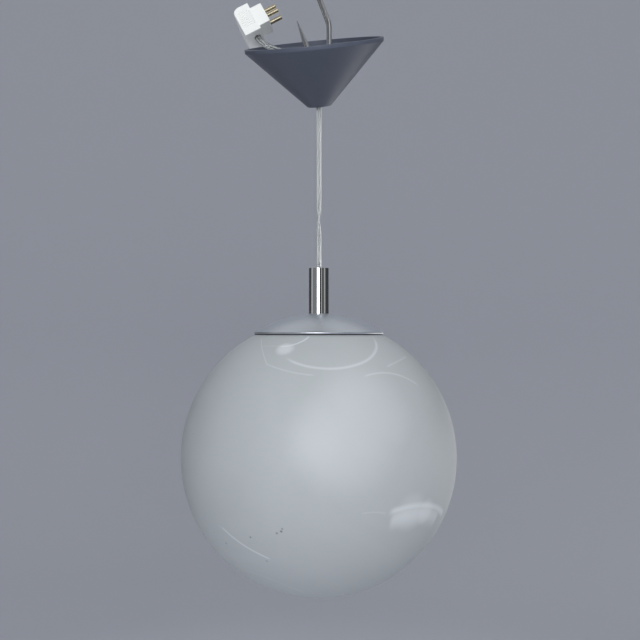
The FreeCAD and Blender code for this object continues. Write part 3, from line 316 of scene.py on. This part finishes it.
def twin_jacket(frames):
    """The jacket round both strands: two round lobes joined by a narrow web."""
    bm = bmesh.new()
    lobe = flex_width / 2 - lobe_radius
    start = bm.verts.new((lobe - lobe_radius * math.cos(web_angle), -lobe_radius * math.sin(web_angle), 0))
    arc = bmesh.ops.spin(bm, geom=[start], cent=(lobe, 0, 0), axis=(0, 0, 1), dvec=(0, 0, 0),
                         angle=2 * math.pi - 2 * web_angle, steps=16, use_duplicate=False)
    end = [item for item in arc["geom_last"] if isinstance(item, bmesh.types.BMVert)][0]
    other = bmesh.ops.duplicate(bm, geom=bm.verts[:] + bm.edges[:])
    copies = [item for item in other["geom"] if isinstance(item, bmesh.types.BMVert)]
    bmesh.ops.rotate(bm, cent=(0, 0, 0), matrix=Matrix.Rotation(math.pi, 3, "Z"), verts=copies)
    bm.edges.new((end, other["vert_map"][start]))
    bm.edges.new((other["vert_map"][end], start))
    follow(bm, bm.edges[:], frames)
    bmesh.ops.recalc_face_normals(bm, faces=bm.faces[:])
    return bm


def twin_strands(frames, turn_per_frame):
    """Two strands of tinned wires, each twisted about its own middle."""
    bm = bmesh.new()
    for side in (-0.5, 0.5):
        middle = Matrix.Translation((side * strand_pitch, 0, 0))
        for wire in range(strand_wires):
            start = wire * 2 * math.pi / strand_wires
            way = [frame @ middle @ Matrix.Rotation(start + index * turn_per_frame, 4, "Z")
                   for index, frame in enumerate(frames)]
            follow(bm, circle(bm, strand_wire_radius, 8, strand_radius - strand_wire_radius), way)
    bmesh.ops.recalc_face_normals(bm, faces=bm.faces[:])
    return bm


clear_jacket = surface("clear_pvc", (0.90, 0.915, 0.90), 0.12, Transmission_Weight=1.0, IOR=1.45)
tinned_wire = surface("tinned_wire", (0.78, 0.79, 0.79), 0.34, 1.0)

tail_slant = math.radians(35)
tail_strand_turn = math.radians(30)
tail_points = spline_points(tail_route, 10)
tail_frames = frames_along(tail_points, Vector((math.cos(tail_slant), 0, math.sin(tail_slant))))
tail = shown(twin_jacket(tail_frames), "flex_tail_jacket", clear_jacket)
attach(tail, "flex_hanger")
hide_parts("flex_tail")
tail_strands = shown(twin_strands(tail_frames, tail_strand_turn), "flex_tail_strands", tinned_wire)
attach(tail_strands, "flex_hanger")


# The hanging flex: the same clear twin flex, straight from the hanger to the neck under the lamp's weight,
# with half a turn of twist above the neck.
drop_top = -0.1175
drop_bottom = -0.2839
twist_top = -0.216
twist_bottom = -0.264
drop_length = drop_top - drop_bottom
drop_steps = 120
drop_strand_turn = math.radians(36)

drop_points = [Vector((0, 0, drop_top - drop_length * step / drop_steps)) for step in range(drop_steps + 1)]
drop_frames = []
for point in drop_points:
    share = min(1, max(0, (twist_top - point.z) / (twist_top - twist_bottom)))
    twist = math.pi * share * share * (3 - 2 * share)
    drop_frames.append(Matrix.Translation(point) @ Matrix.Rotation(math.pi, 4, "X")
                       @ Matrix.Rotation(twist, 4, "Z"))
drop = shown(twin_jacket(drop_frames), "flex_drop_jacket", clear_jacket)
drop_strands = shown(twin_strands(drop_frames, drop_strand_turn), "flex_drop_strands", tinned_wire)
for piece, slot, twin in ((drop, "clear_jacket", "flex_drop"),
                          (drop_strands, "tinned_strand", "flex_strands")):
    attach(piece, "flex_hanger")
    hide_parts(twin)
    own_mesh(piece)


# The hook: 5 mm steel wire bent to an S.  The upper bight hangs on the ceiling, the lower bight carries
# the hanger, and the lower free end is ground to a long spike.  Plain zinc, gone dull.
wire_radius = 0.0025
bight_radius = 0.0095
upper_bight = -0.007
lower_bight = -0.0825
upper_tip_length = 0.008
shank_lean = math.radians(20.9)
shank_bend_radius = 0.025
spike_lean = math.radians(20)
spike_straight = 0.010
spike_taper = 0.022
spike_point_radius = 0.0004

knee = upper_bight - bight_radius * math.sin(shank_lean) \
    - bight_radius * (1 + math.cos(shank_lean)) / math.tan(shank_lean)
bend_reach = shank_bend_radius * math.tan(shank_lean / 2)


class Wire:
    """A round wire drawn in the XZ plane from its first ring by straight runs and bends."""

    def __init__(self, bm, ring, tip):
        self.bm = bm
        self.edges = ring
        self.tip = Vector(tip)
        self.heading = Vector((0, 0, 1))

    def verts(self):
        return list(dict.fromkeys(vert for edge in self.edges for vert in edge.verts))

    def run(self, length, scale=1.0):
        """A straight run, which may swell or shrink to a scale."""
        grown = bmesh.ops.extrude_edge_only(self.bm, edges=self.edges)
        fresh = {item for item in grown["geom"] if isinstance(item, bmesh.types.BMVert)}
        self.edges = [item for item in grown["geom"] if isinstance(item, bmesh.types.BMEdge)
                      and fresh.issuperset(item.verts)]
        self.tip += self.heading * length
        bmesh.ops.translate(self.bm, verts=list(fresh), vec=self.heading * length)
        bmesh.ops.scale(self.bm, verts=list(fresh), vec=(scale, scale, scale),
                        space=Matrix.Translation(-self.tip))

    def bend(self, centre, angle, steps):
        """A bend about a centre, to the left for a positive angle as the photograph shows it."""
        turn = bmesh.ops.spin(self.bm, geom=self.verts() + self.edges, cent=centre, axis=(0, -1, 0),
                              dvec=(0, 0, 0), angle=angle, steps=steps, use_duplicate=False)
        self.edges = [item for item in turn["geom_last"] if isinstance(item, bmesh.types.BMEdge)]
        rotation = Matrix.Rotation(angle, 3, Vector((0, -1, 0)))
        self.heading = rotation @ self.heading
        self.tip = rotation @ (self.tip - Vector(centre)) + Vector(centre)

    def dome(self, radius, steps):
        """A round end on the wire."""
        for step in range(steps):
            before = math.pi / 2 * step / steps
            here = math.pi / 2 * (step + 1) / steps
            shrink = max(math.cos(here), 0.01) / math.cos(before)
            self.run(radius * (math.sin(here) - math.sin(before)), shrink)
        bmesh.ops.contextual_create(self.bm, geom=self.edges)


hook_mesh = bmesh.new()
upper_tip = (bight_radius, 0, upper_bight - upper_tip_length)
hook_ring = bmesh.ops.create_circle(hook_mesh, segments=32, radius=wire_radius,
                                    matrix=Matrix.Translation(upper_tip))["verts"]
hook_edges = list(dict.fromkeys(edge for vert in hook_ring for edge in vert.link_edges))
hook_wire = Wire(hook_mesh, hook_edges, upper_tip)
hook_wire.heading = Vector((0, 0, -1))
hook_wire.dome(wire_radius, 6)
hook_wire = Wire(hook_mesh, hook_edges, upper_tip)
hook_wire.run(upper_tip_length)
hook_wire.bend((0, 0, upper_bight), math.pi + shank_lean, 40)
knee_top = Vector((bight_radius - bend_reach * math.sin(shank_lean), 0,
                   knee + bend_reach * math.cos(shank_lean)))
hook_wire.run((knee_top - hook_wire.tip).length)
hook_wire.bend((bight_radius - shank_bend_radius, 0, knee - bend_reach), -shank_lean, 12)
hook_wire.run(knee - bend_reach - lower_bight)
hook_wire.bend((0, 0, lower_bight), spike_lean - math.pi, 36)
hook_wire.run(spike_straight)
hook_wire.run(spike_taper, spike_point_radius / wire_radius)
hook_wire.dome(spike_point_radius, 3)
bmesh.ops.recalc_face_normals(hook_mesh, faces=hook_mesh.faces[:])


def new_group(name, inputs, outputs):
    """An empty shader node group with its sockets, and its input and output nodes."""
    tree = bpy.data.node_groups.new(name, "ShaderNodeTree")
    for label, kind, value in inputs:
        tree.interface.new_socket(label, in_out="INPUT", socket_type=kind).default_value = value
    for label, kind in outputs:
        tree.interface.new_socket(label, in_out="OUTPUT", socket_type=kind)
    return tree, tree.nodes.new("NodeGroupInput").outputs, tree.nodes.new("NodeGroupOutput").inputs


def math_node(tree, operation, *values):
    """A Math node on up to three values, as its output socket."""
    made = node(tree, "ShaderNodeMath", {}, operation=operation)
    for socket, value in zip(made.inputs, values):
        if isinstance(value, bpy.types.NodeSocket):
            tree.links.new(value, socket)
        else:
            socket.default_value = value
    return made.outputs[0]


# What handling and age do to any of the lamp's surfaces: clouds in the colour, uneven gloss, fine grain.
handled, given, result = new_group(
    "handled_surface",
    [("Colour", "NodeSocketColor", (0.5, 0.5, 0.5, 1)), ("Clouding", "NodeSocketFloat", 0.1),
     ("Cloud size", "NodeSocketFloat", 60.0), ("Roughness", "NodeSocketFloat", 0.4),
     ("Unevenness", "NodeSocketFloat", 0.05), ("Grain size", "NodeSocketFloat", 2500.0)],
    [("Colour", "NodeSocketColor"), ("Roughness", "NodeSocketFloat"), ("Grain", "NodeSocketFloat")])
spot = node(handled, "ShaderNodeTexCoord", {}).outputs["Object"]
cloud = node(handled, "ShaderNodeTexNoise", {"Vector": spot, "Scale": given["Cloud size"], "Detail": 4.0})
smear = node(handled, "ShaderNodeTexNoise", {"Vector": spot, "Scale": 190.0, "Detail": 3.0,
                                             "Distortion": 0.6})
grain = node(handled, "ShaderNodeTexNoise", {"Vector": spot, "Scale": given["Grain size"], "Detail": 2.0})
swing = math_node(handled, "SUBTRACT", cloud.outputs["Fac"], 0.5)
tone = math_node(handled, "MULTIPLY_ADD", swing, given["Clouding"], 1.0)
tinted = node(handled, "ShaderNodeVectorMath", {0: given["Colour"], "Scale": tone}, operation="SCALE")
handled.links.new(tinted.outputs["Vector"], result["Colour"])
lift = math_node(handled, "SUBTRACT", smear.outputs["Fac"], 0.5)
handled.links.new(math_node(handled, "MULTIPLY_ADD", lift, given["Unevenness"], given["Roughness"]),
                  result["Roughness"])
handled.links.new(grain.outputs["Fac"], result["Grain"])


def weather(material, clouding, cloud_size, unevenness, grain_size, grain_depth):
    """Gives a plain surface the handled look, with its own colour and roughness as the middle."""
    tree = material.node_tree
    shader = tree.nodes["Principled BSDF"]
    look = node(tree, "ShaderNodeGroup", {}, node_tree=handled)
    look.inputs["Colour"].default_value = shader.inputs["Base Color"].default_value
    look.inputs["Roughness"].default_value = shader.inputs["Roughness"].default_value
    look.inputs["Clouding"].default_value = clouding
    look.inputs["Cloud size"].default_value = cloud_size
    look.inputs["Unevenness"].default_value = unevenness
    look.inputs["Grain size"].default_value = grain_size
    tree.links.new(look.outputs["Colour"], shader.inputs["Base Color"])
    tree.links.new(look.outputs["Roughness"], shader.inputs["Roughness"])
    bump = node(tree, "ShaderNodeBump", {"Height": look.outputs["Grain"], "Strength": 0.5,
                                         "Distance": grain_depth})
    tree.links.new(bump.outputs["Normal"], shader.inputs["Normal"])
    return material


hook_steel = weather(surface("hook_steel", (0.46, 0.46, 0.46), 0.14, 1.0), 0.3, 140.0, 0.12, 900.0, 0.000006)
hook = shown(hook_mesh, "suspension_hook_wire", hook_steel)
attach(hook, "hook")
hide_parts("suspension_hook")


# The hanger: a moulded nylon block with an eye for the hook, and a plate that two zinc screws pull down on
# the flex.  It hides in the cone.
def dress(material, *names):
    """Gives CAD pieces a finish."""
    for name in names:
        cad[name].data.materials.clear()
        cad[name].data.materials.append(material)


nylon = weather(surface("hanger_nylon", (0.66, 0.66, 0.63), 0.42), 0.10, 80.0, 0.10, 2200.0, 0.00003)
zinc_plate = weather(surface("zinc_plate", (0.62, 0.63, 0.64), 0.30, 1.0), 0.25, 260.0, 0.20, 3000.0, 0.00001)
dress(nylon, "cord_hanger", "hanger_clamp_plate")
dress(zinc_plate, "hanger_screws")
dress(clear_jacket, "flex_held", "flex_inner")


# The ball bush: a black rubber ball, bored for the flex and tight on it.  The cone's socket rocks on it, and
# it slides down the flex with the cone.
rubber = weather(surface("black_rubber", (0.022, 0.022, 0.023), 0.62), 0.3, 200.0, 0.15, 1800.0, 0.00004)
dress(rubber, "canopy_bush")


# The canopy: a slate-grey cone moulded in one piece, open at the top, with a thick rim, a flat foot and a
# socket for the ball bush.  It sits crooked on the bush, tipped toward the front and the left.
ball_centre = Vector((0, 0, -0.1278))
canopy_tilt = math.radians(23.3)
canopy_roll = math.radians(5.2)
canopy_foot_radius = 0.011
canopy_rim_radius = 0.0624
canopy_rim_band = 0.0032
canopy_height = 0.0545
canopy_wall = 0.00276
canopy_floor = 0.0025
foot_below_ball = 0.006
canopy_hole_radius = 0.0053
boss_radius = 0.009
boss_height = 0.011
canopy_edge_radius = 0.0004
socket_radius = 0.0068

slope = (canopy_rim_radius - canopy_foot_radius) / (canopy_height - canopy_rim_band)
rim_top = canopy_height - foot_below_ball
band_foot = rim_top - canopy_rim_band
floor_top = canopy_floor - foot_below_ball
boss_top = boss_height - foot_below_ball
socket_reach = math.sqrt(socket_radius ** 2 - canopy_hole_radius ** 2)
socket_angle = math.asin(socket_reach / socket_radius)
cone = turned(outline(
    (canopy_hole_radius, -foot_below_ball), (canopy_foot_radius, -foot_below_ball),
    (canopy_rim_radius, band_foot), (canopy_rim_radius, rim_top), (canopy_rim_radius - canopy_wall, rim_top),
    (canopy_rim_radius - canopy_wall, band_foot),
    (canopy_foot_radius + slope * canopy_floor - canopy_wall, floor_top), (boss_radius, floor_top),
    (boss_radius, boss_top), (canopy_hole_radius, boss_top), (canopy_hole_radius, socket_reach),
    ((0, 0), -2 * socket_angle, 12), closed=True), 160)
round_edges(cone, 30, canopy_edge_radius, 3)
stand = Matrix.Translation(ball_centre) @ Matrix.Rotation(canopy_tilt, 4, "X") \
    @ Matrix.Rotation(-canopy_roll, 4, "Y")
bmesh.ops.transform(cone, matrix=stand, verts=cone.verts[:])
slate = weather(surface("slate_plastic", (0.085, 0.098, 0.135), 0.40), 0.14, 50.0, 0.08, 2600.0, 0.00003)
canopy = shown(cone, "canopy_cone", slate)
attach(canopy, "canopy")
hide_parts("canopy")


# The neck: a chromed steel tube that stands on the cap, with a rolled lip round its plastic bush.  Inside,
# a grip block and its screw hold the flex at the chosen height.
neck_radius = 0.0093
neck_wall = 0.0012
neck_top = -0.2831
neck_bottom = -0.3254
neck_floor = 0.003
neck_lip = 0.0006
nipple_radius = 0.00505

tube_mesh = turned(outline(
    (nipple_radius, neck_bottom), (neck_radius, neck_bottom), (neck_radius, neck_top - neck_lip),
    ((neck_radius - neck_lip, neck_top - neck_lip), math.pi, 8),
    (neck_radius - neck_wall, neck_bottom + neck_floor), (nipple_radius, neck_bottom + neck_floor),
    closed=True), 128)
chrome = weather(surface("neck_chrome", (0.72, 0.73, 0.745), 0.055, 1.0), 0.04, 60.0, 0.05, 900.0, 0.000002)
neck = shown(tube_mesh, "neck_tube_chromed", chrome)
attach(neck, "pendant")
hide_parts("neck_tube")
white_plastic = weather(surface("white_plastic", (0.78, 0.78, 0.75), 0.38), 0.08, 70.0, 0.10, 2400.0, 0.00002)
dress(white_plastic, "neck_bush", "cord_grip", "terminal_insert")
dress(zinc_plate, "grip_screw", "threaded_nipple")


# The cap: a shallow dome spun from aluminium, brushed and lacquered, with a turned-in flange over the glass.
# The nipple passes through the flat land at its top, and the neck stands on it.
cap_rim = -0.3440
cap_rim_radius = 0.0592
cap_height = 0.0186
cap_dome_radius = 0.102
cap_wall = 0.0015
cap_land_radius = 0.010
cap_rim_depth = 0.0016
cap_flange_width = 0.0062
cap_flange_thickness = 0.0012
cap_edge_radius = 0.0003
cap_roughness = 0.36


def arc_between(start, end, radius, bulge, steps):
    """The way of an arc from start to end in the section: its centre, angle and steps."""
    start, end = Vector(start), Vector(end)
    half = (end - start) / 2
    rise = math.sqrt(radius ** 2 - half.length ** 2)
    normal = Vector((-half.y, half.x)).normalized() * bulge
    centre = start + half + normal * rise
    angle = 2 * math.asin(half.length / radius) * bulge
    return (centre.x, centre.y), angle, steps


flange_inside = cap_rim_radius - cap_flange_width
dome_start = (cap_rim_radius, cap_rim + cap_rim_depth)
dome_end = (cap_land_radius, cap_rim + cap_height)
under_start = (cap_land_radius, cap_rim + cap_height - cap_wall)
under_end = (cap_rim_radius - 1.2 * cap_wall, cap_rim + cap_flange_thickness)
dome = turned(outline(
    (nipple_radius, under_start[1]), under_start,
    arc_between(under_start, under_end, cap_dome_radius - cap_wall, -1, 20),
    (flange_inside, cap_rim + cap_flange_thickness), (flange_inside, cap_rim), (cap_rim_radius, cap_rim),
    dome_start,
    arc_between(dome_start, dome_end, cap_dome_radius, 1, 28), (nipple_radius, cap_rim + cap_height),
    closed=True), 192)
round_edges(dome, 30, cap_edge_radius, 3)

spun, given, result = new_group(
    "spun_lines",
    [("Spacing", "NodeSocketFloat", 0.0004), ("Roughness", "NodeSocketFloat", 0.35),
     ("Unevenness", "NodeSocketFloat", 0.1)],
    [("Lines", "NodeSocketFloat"), ("Roughness", "NodeSocketFloat")])
place = node(spun, "ShaderNodeTexCoord", {}).outputs["Object"]
spot = node(spun, "ShaderNodeSeparateXYZ", {0: place}).outputs
reach = math_node(spun, "SQRT", math_node(spun, "ADD", math_node(spun, "MULTIPLY", spot["X"], spot["X"]),
                                          math_node(spun, "MULTIPLY", spot["Y"], spot["Y"])))
track = node(spun, "ShaderNodeCombineXYZ", {"X": reach, "Y": spot["Z"]}).outputs[0]
fineness = math_node(spun, "DIVIDE", 1.0, given["Spacing"])
lines = node(spun, "ShaderNodeTexNoise", {"Vector": track, "Scale": fineness, "Detail": 3.0})
spun.links.new(lines.outputs["Fac"], result["Lines"])
lift = math_node(spun, "SUBTRACT", lines.outputs["Fac"], 0.5)
spun.links.new(math_node(spun, "MULTIPLY_ADD", lift, given["Unevenness"], given["Roughness"]),
               result["Roughness"])

aluminium = weather(surface("spun_aluminium", (0.80, 0.835, 0.875), cap_roughness, 1.0),
                    0.08, 40.0, 0.05, 2000.0, 0.00001)
tree = aluminium.node_tree
shader = tree.nodes["Principled BSDF"]
look = node(tree, "ShaderNodeGroup", {}, node_tree=spun)
look.inputs["Spacing"].default_value = 0.0004
look.inputs["Roughness"].default_value = cap_roughness
look.inputs["Unevenness"].default_value = 0.12
tree.links.new(look.outputs["Roughness"], shader.inputs["Roughness"])
bump = node(tree, "ShaderNodeBump", {"Height": look.outputs["Lines"], "Strength": 0.35, "Distance": 0.00002})
tree.links.new(bump.outputs["Normal"], shader.inputs["Normal"])
cap = shown(dome, "gallery_cap_spun", aluminium)
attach(cap, "pendant")
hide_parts("gallery_cap")


# Under the cap: a black rubber seal on the glass, then a lock washer, a nut, and a plate with three riveted
# spring clips that hold the glass by its mouth.
spring_steel = weather(surface("spring_steel", (0.50, 0.51, 0.53), 0.26, 1.0),
                       0.2, 200.0, 0.15, 3000.0, 0.00001)
dress(rubber, "cap_seal")
dress(zinc_plate, "lock_washer", "cap_locknut", "clip_plate", "clip_rivets")
dress(spring_steel, "spring_clips")


# The globe: 250 mm of satin-etched glass with alabaster marbling in it, blown in a mould and ground flat
# round its mouth.  A soft highlight is painted into the glass's colour at its front.
globe_radius = 0.125
globe_wall = 0.003
globe_mouth_radius = 0.0594
glass_top = -0.3450
glass_edge_radius = 0.0004
wobble_reach = (0.014,) * 3
globe_centre = glass_top - math.sqrt(globe_radius ** 2 - globe_mouth_radius ** 2)

mouth_angle = math.asin(globe_mouth_radius / globe_radius)
inner_radius = globe_radius - globe_wall
inner_mouth = math.sqrt(inner_radius ** 2 - (glass_top - globe_centre) ** 2)
inner_angle = math.asin(inner_mouth / inner_radius)
glass = turned(outline(
    (0, globe_centre - globe_radius),
    ((0, globe_centre), math.pi - mouth_angle, 72), (inner_mouth, glass_top),
    ((0, globe_centre), inner_angle - math.pi, 72)), 144)
round_edges(glass, 50, glass_edge_radius, 3)

swirl, given, result = new_group(
    "glass_swirl",
    [("Spot", "NodeSocketVector", (0, 0, 0)), ("Axis", "NodeSocketVector", (0, 0, 1)),
     ("Level", "NodeSocketFloat", 0.5), ("Width", "NodeSocketFloat", 0.01),
     ("Middle", "NodeSocketVector", (0, 0, 1)), ("Reach", "NodeSocketFloat", 0.9),
     ("Fade", "NodeSocketFloat", 0.3)],
    [("Mask", "NodeSocketFloat")])
height = node(swirl, "ShaderNodeVectorMath", {0: given["Spot"], 1: given["Axis"]}, operation="DOT_PRODUCT")
away = math_node(swirl, "ABSOLUTE", math_node(swirl, "SUBTRACT", height.outputs["Value"], given["Level"]))
thin = math_node(swirl, "SUBTRACT", 1.0, math_node(swirl, "DIVIDE", away, given["Width"]))
near = node(swirl, "ShaderNodeVectorMath", {0: given["Spot"], 1: given["Middle"]}, operation="DOT_PRODUCT")
stretch = math_node(swirl, "SUBTRACT", 1.0, given["Reach"])
inside = math_node(swirl, "SUBTRACT", near.outputs["Value"], given["Reach"])
inside = math_node(swirl, "DIVIDE", inside, stretch)
thin = node(swirl, "ShaderNodeMapRange", {"Value": thin}, interpolation_type="SMOOTHSTEP").outputs[0]
inside = node(swirl, "ShaderNodeMapRange", {"Value": inside, "From Max": given["Fade"]},
              interpolation_type="SMOOTHSTEP").outputs[0]
swirl.links.new(math_node(swirl, "MULTIPLY", thin, inside), result["Mask"])

alabaster = surface("alabaster_glass", (0.5, 0.53, 0.56), 0.46, IOR=1.5)
tree = alabaster.node_tree
shader = tree.nodes["Principled BSDF"]
spot = node(tree, "ShaderNodeTexCoord", {}).outputs["Object"]
centred = node(tree, "ShaderNodeMapping", {"Vector": spot, "Location": (0, 0, -globe_centre / globe_radius),
                                           "Scale": (1 / globe_radius,) * 3}).outputs[0]
wobble = node(tree, "ShaderNodeTexNoise", {"Vector": centred, "Scale": 2.4, "Detail": 1.0})
wobble_swing = node(tree, "ShaderNodeVectorMath", {0: wobble.outputs["Color"], 1: (0.5, 0.5, 0.5)},
                    operation="SUBTRACT").outputs[0]
wobbled = node(tree, "ShaderNodeVectorMath", {0: wobble_swing, 1: wobble_reach, 2: centred},
               operation="MULTIPLY_ADD").outputs[0]
on_globe = node(tree, "ShaderNodeVectorMath", {0: wobbled}, operation="NORMALIZE").outputs[0]


def swirl_mask(axis, level, width, middle, reach, strength, fade=0.3):
    """One streak in the glass: a band round an axis, gone at a reach in degrees from its middle."""
    line = node(tree, "ShaderNodeGroup", {}, node_tree=swirl)
    tree.links.new(on_globe, line.inputs["Spot"])
    line.inputs["Axis"].default_value = Vector(axis).normalized()
    line.inputs["Level"].default_value = level
    line.inputs["Width"].default_value = width
    line.inputs["Middle"].default_value = Vector(middle).normalized()
    line.inputs["Reach"].default_value = math.cos(math.radians(reach))
    line.inputs["Fade"].default_value = fade
    return math_node(tree, "MULTIPLY", line.outputs["Mask"], strength)


def patch_mask(middle, reach, strength, fade=1.0):
    """One soft round patch in the glass."""
    return swirl_mask(middle, 1.0, 1.0, middle, reach, strength, fade)


def joined(masks):
    """The strongest of some masks at each place."""
    whole = masks[0]
    for mask in masks[1:]:
        whole = math_node(tree, "MAXIMUM", whole, mask)
    return whole


veins = joined([
    swirl_mask((0.047, -0.463, 0.885), 0.937, 0.0060, (0.162, -0.628, 0.761), 22.5, 0.40),
    swirl_mask((-0.198, -0.414, 0.888), 0.988, 0.0020, (-0.149, -0.530, 0.835), 6.5, 0.60),
    swirl_mask((-0.033, 0.014, 0.999), 0.811, 0.0042, (-0.295, -0.505, 0.811), 7.0, 0.20),
    swirl_mask((0.617, -0.283, 0.734), 0.480, 0.0063, (-0.375, -0.490, 0.787), 11.0, 0.26),
    swirl_mask((0.029, -0.367, 0.930), 0.868, 0.0050, (-0.199, -0.725, 0.660), 11.0, 0.24),
    swirl_mask((0.522, -0.846, 0.108), 0.837, 0.0066, (0.487, -0.621, 0.614), 13.5, 0.30),
    swirl_mask((-0.463, 0.067, 0.884), 0.345, 0.0110, (0.539, -0.456, 0.709), 10.0, 0.24),
    swirl_mask((0.410, -0.558, -0.721), 0.826, 0.0200, (0.691, -0.680, -0.246), 19.0, 0.55),
    swirl_mask((0.410, -0.558, -0.721), 0.858, 0.0480, (0.645, -0.708, -0.287), 15.0, 0.45),
    swirl_mask((0.284, -0.829, -0.481), 0.957, 0.0028, (0.344, -0.915, -0.211), 5.0, 0.16),
    swirl_mask((0.108, -0.792, 0.601), 0.269, 0.0110, (-0.476, -0.753, -0.455), 11.5, 0.55),
    swirl_mask((-0.429, 0.201, -0.881), 0.450, 0.0060, (-0.560, -0.710, -0.420), 8.0, 0.18),
    swirl_mask((-0.332, -0.386, -0.860), 0.960, 0.0024, (-0.293, -0.587, -0.755), 13.0, 0.16),
    swirl_mask((0.250, 0.520, 0.820), 0.900, 0.0060, (-0.130, 0.660, 0.740), 24.0, 0.36),
    swirl_mask((-0.620, 0.300, 0.720), 0.520, 0.0070, (0.300, 0.840, 0.450), 16.0, 0.26),
    swirl_mask((-0.350, 0.660, -0.660), 0.780, 0.0140, (-0.700, 0.690, 0.000), 18.0, 0.40),
    swirl_mask((0.480, 0.780, 0.400), 0.720, 0.0080, (0.930, 0.340, 0.140), 15.0, 0.30),
    swirl_mask((0.100, 0.800, -0.590), 0.560, 0.0070, (0.560, 0.700, -0.440), 17.0, 0.34),
    swirl_mask((-0.800, -0.100, 0.590), 0.760, 0.0060, (-0.880, 0.440, 0.180), 15.0, 0.26)])
# Lighter patches in the glass.  Most are milky clouds of the marbling.  The two wide ones at the front are a
# painted highlight, a soft glow lightened into the glass's colour.  The small bright one at the upper left
# under the cap and the two at the lower right are lighter glass there.
milk_and_highlight = joined([
    patch_mask((-0.222, -0.569, 0.792), 4.5, 0.50),
    patch_mask((-0.650, 0.740, -0.170), 11.0, 0.35), patch_mask((0.250, 0.620, 0.740), 4.5, 0.40),
    patch_mask((0.690, -0.680, -0.262), 6.0, 0.35), patch_mask((0.590, -0.770, -0.245), 9.0, 0.25),
    # These two wide patches at the front are a painted highlight: a soft glow lightened into the colour.
    patch_mask((0.161, -0.957, 0.243), 24.0, 0.17), patch_mask((0.288, -0.863, 0.416), 22.0, 0.17)])
specks = joined([
    patch_mask((-0.224, -0.926, -0.305), 0.5, 0.6), patch_mask((-0.230, -0.918, -0.323), 0.6, 0.8),
    patch_mask((-0.257, -0.905, -0.338), 0.6, 0.6), patch_mask((-0.429, -0.816, -0.389), 0.5, 0.7),
    patch_mask((-0.604, -0.641, -0.474), 0.6, 0.5), patch_mask((-0.330, -0.764, -0.555), 0.6, 0.4)])
clouds = node(tree, "ShaderNodeTexNoise", {"Vector": centred, "Scale": 1.3, "Detail": 3.0, "Distortion": 1.2})
thin_glass = (0.432, 0.463, 0.474, 1)
thick_glass = (0.502, 0.532, 0.548, 1)
# The milky colour of the veins and patches; in the two wide front patches it is a painted highlight.
milk_and_highlight_colour = (0.80, 0.83, 0.86, 1)
speck_colour = (0.10, 0.10, 0.10, 1)
tint = thin_glass
for mask, over in ((clouds.outputs["Fac"], thick_glass), (milk_and_highlight, milk_and_highlight_colour), (veins, milk_and_highlight_colour),
                   (specks, speck_colour)):
    tint = node(tree, "ShaderNodeMix", {0: mask, 6: tint, 7: over}, data_type="RGBA").outputs[2]
tree.links.new(tint, shader.inputs["Base Color"])
satin = node(tree, "ShaderNodeTexNoise", {"Vector": spot, "Scale": 1800.0, "Detail": 2.0})
bump = node(tree, "ShaderNodeBump", {"Height": satin.outputs["Fac"], "Strength": 0.3, "Distance": 0.00002})
tree.links.new(bump.outputs["Normal"], shader.inputs["Normal"])
globe = shown(glass, "globe_glass", alabaster)
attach(globe, "globe")
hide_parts("globe")


# The lamp holder: white plastic cap and skirt on the nipple, with a white insert that carries the brass
# screw shell, the centre contact and the two terminals.
brass = weather(surface("brass", (0.66, 0.58, 0.41), 0.24, 1.0), 0.15, 220.0, 0.10, 1500.0, 0.000003)
dress(white_plastic, "holder_cap", "holder_skirt")
dress(brass, "screw_shell", "terminal_screws", "centre_contact")
dress(tinned_wire, "lead_wires")


# The bulb: a 60 mm opal bulb with a nickel screw cap, a black insulator round its contact, and a white
# plastic collar under the envelope.
opal = weather(surface("opal_glass", (0.82, 0.83, 0.82), 0.22), 0.04, 40.0, 0.05, 1200.0, 0.00001)
nickel = weather(surface("nickel_cap", (0.62, 0.60, 0.55), 0.25, 1.0), 0.2, 200.0, 0.15, 3000.0, 0.00001)
bakelite = weather(surface("black_bakelite", (0.03, 0.03, 0.031), 0.28), 0.2, 90.0, 0.10, 1500.0, 0.00002)
dress(nickel, "bulb_cap")
dress(bakelite, "bulb_insulator")
dress(zinc_plate, "bulb_contact")
dress(white_plastic, "bulb_collar")
dress(opal, "bulb_glass")


# The ceiling plug: a white moulded cover with finger ribs and a cord hole, a face block with three round
# pins, and one screw that holds the two together.
plug_white = weather(surface("plug_plastic", (0.94, 0.955, 0.93), 0.36), 0.04, 90.0, 0.08, 1200.0, 0.000004)
dress(plug_white, "plug_cover", "plug_face")
dress(brass, "plug_pins", "plug_terminals")
dress(zinc_plate, "plug_cover_screw")
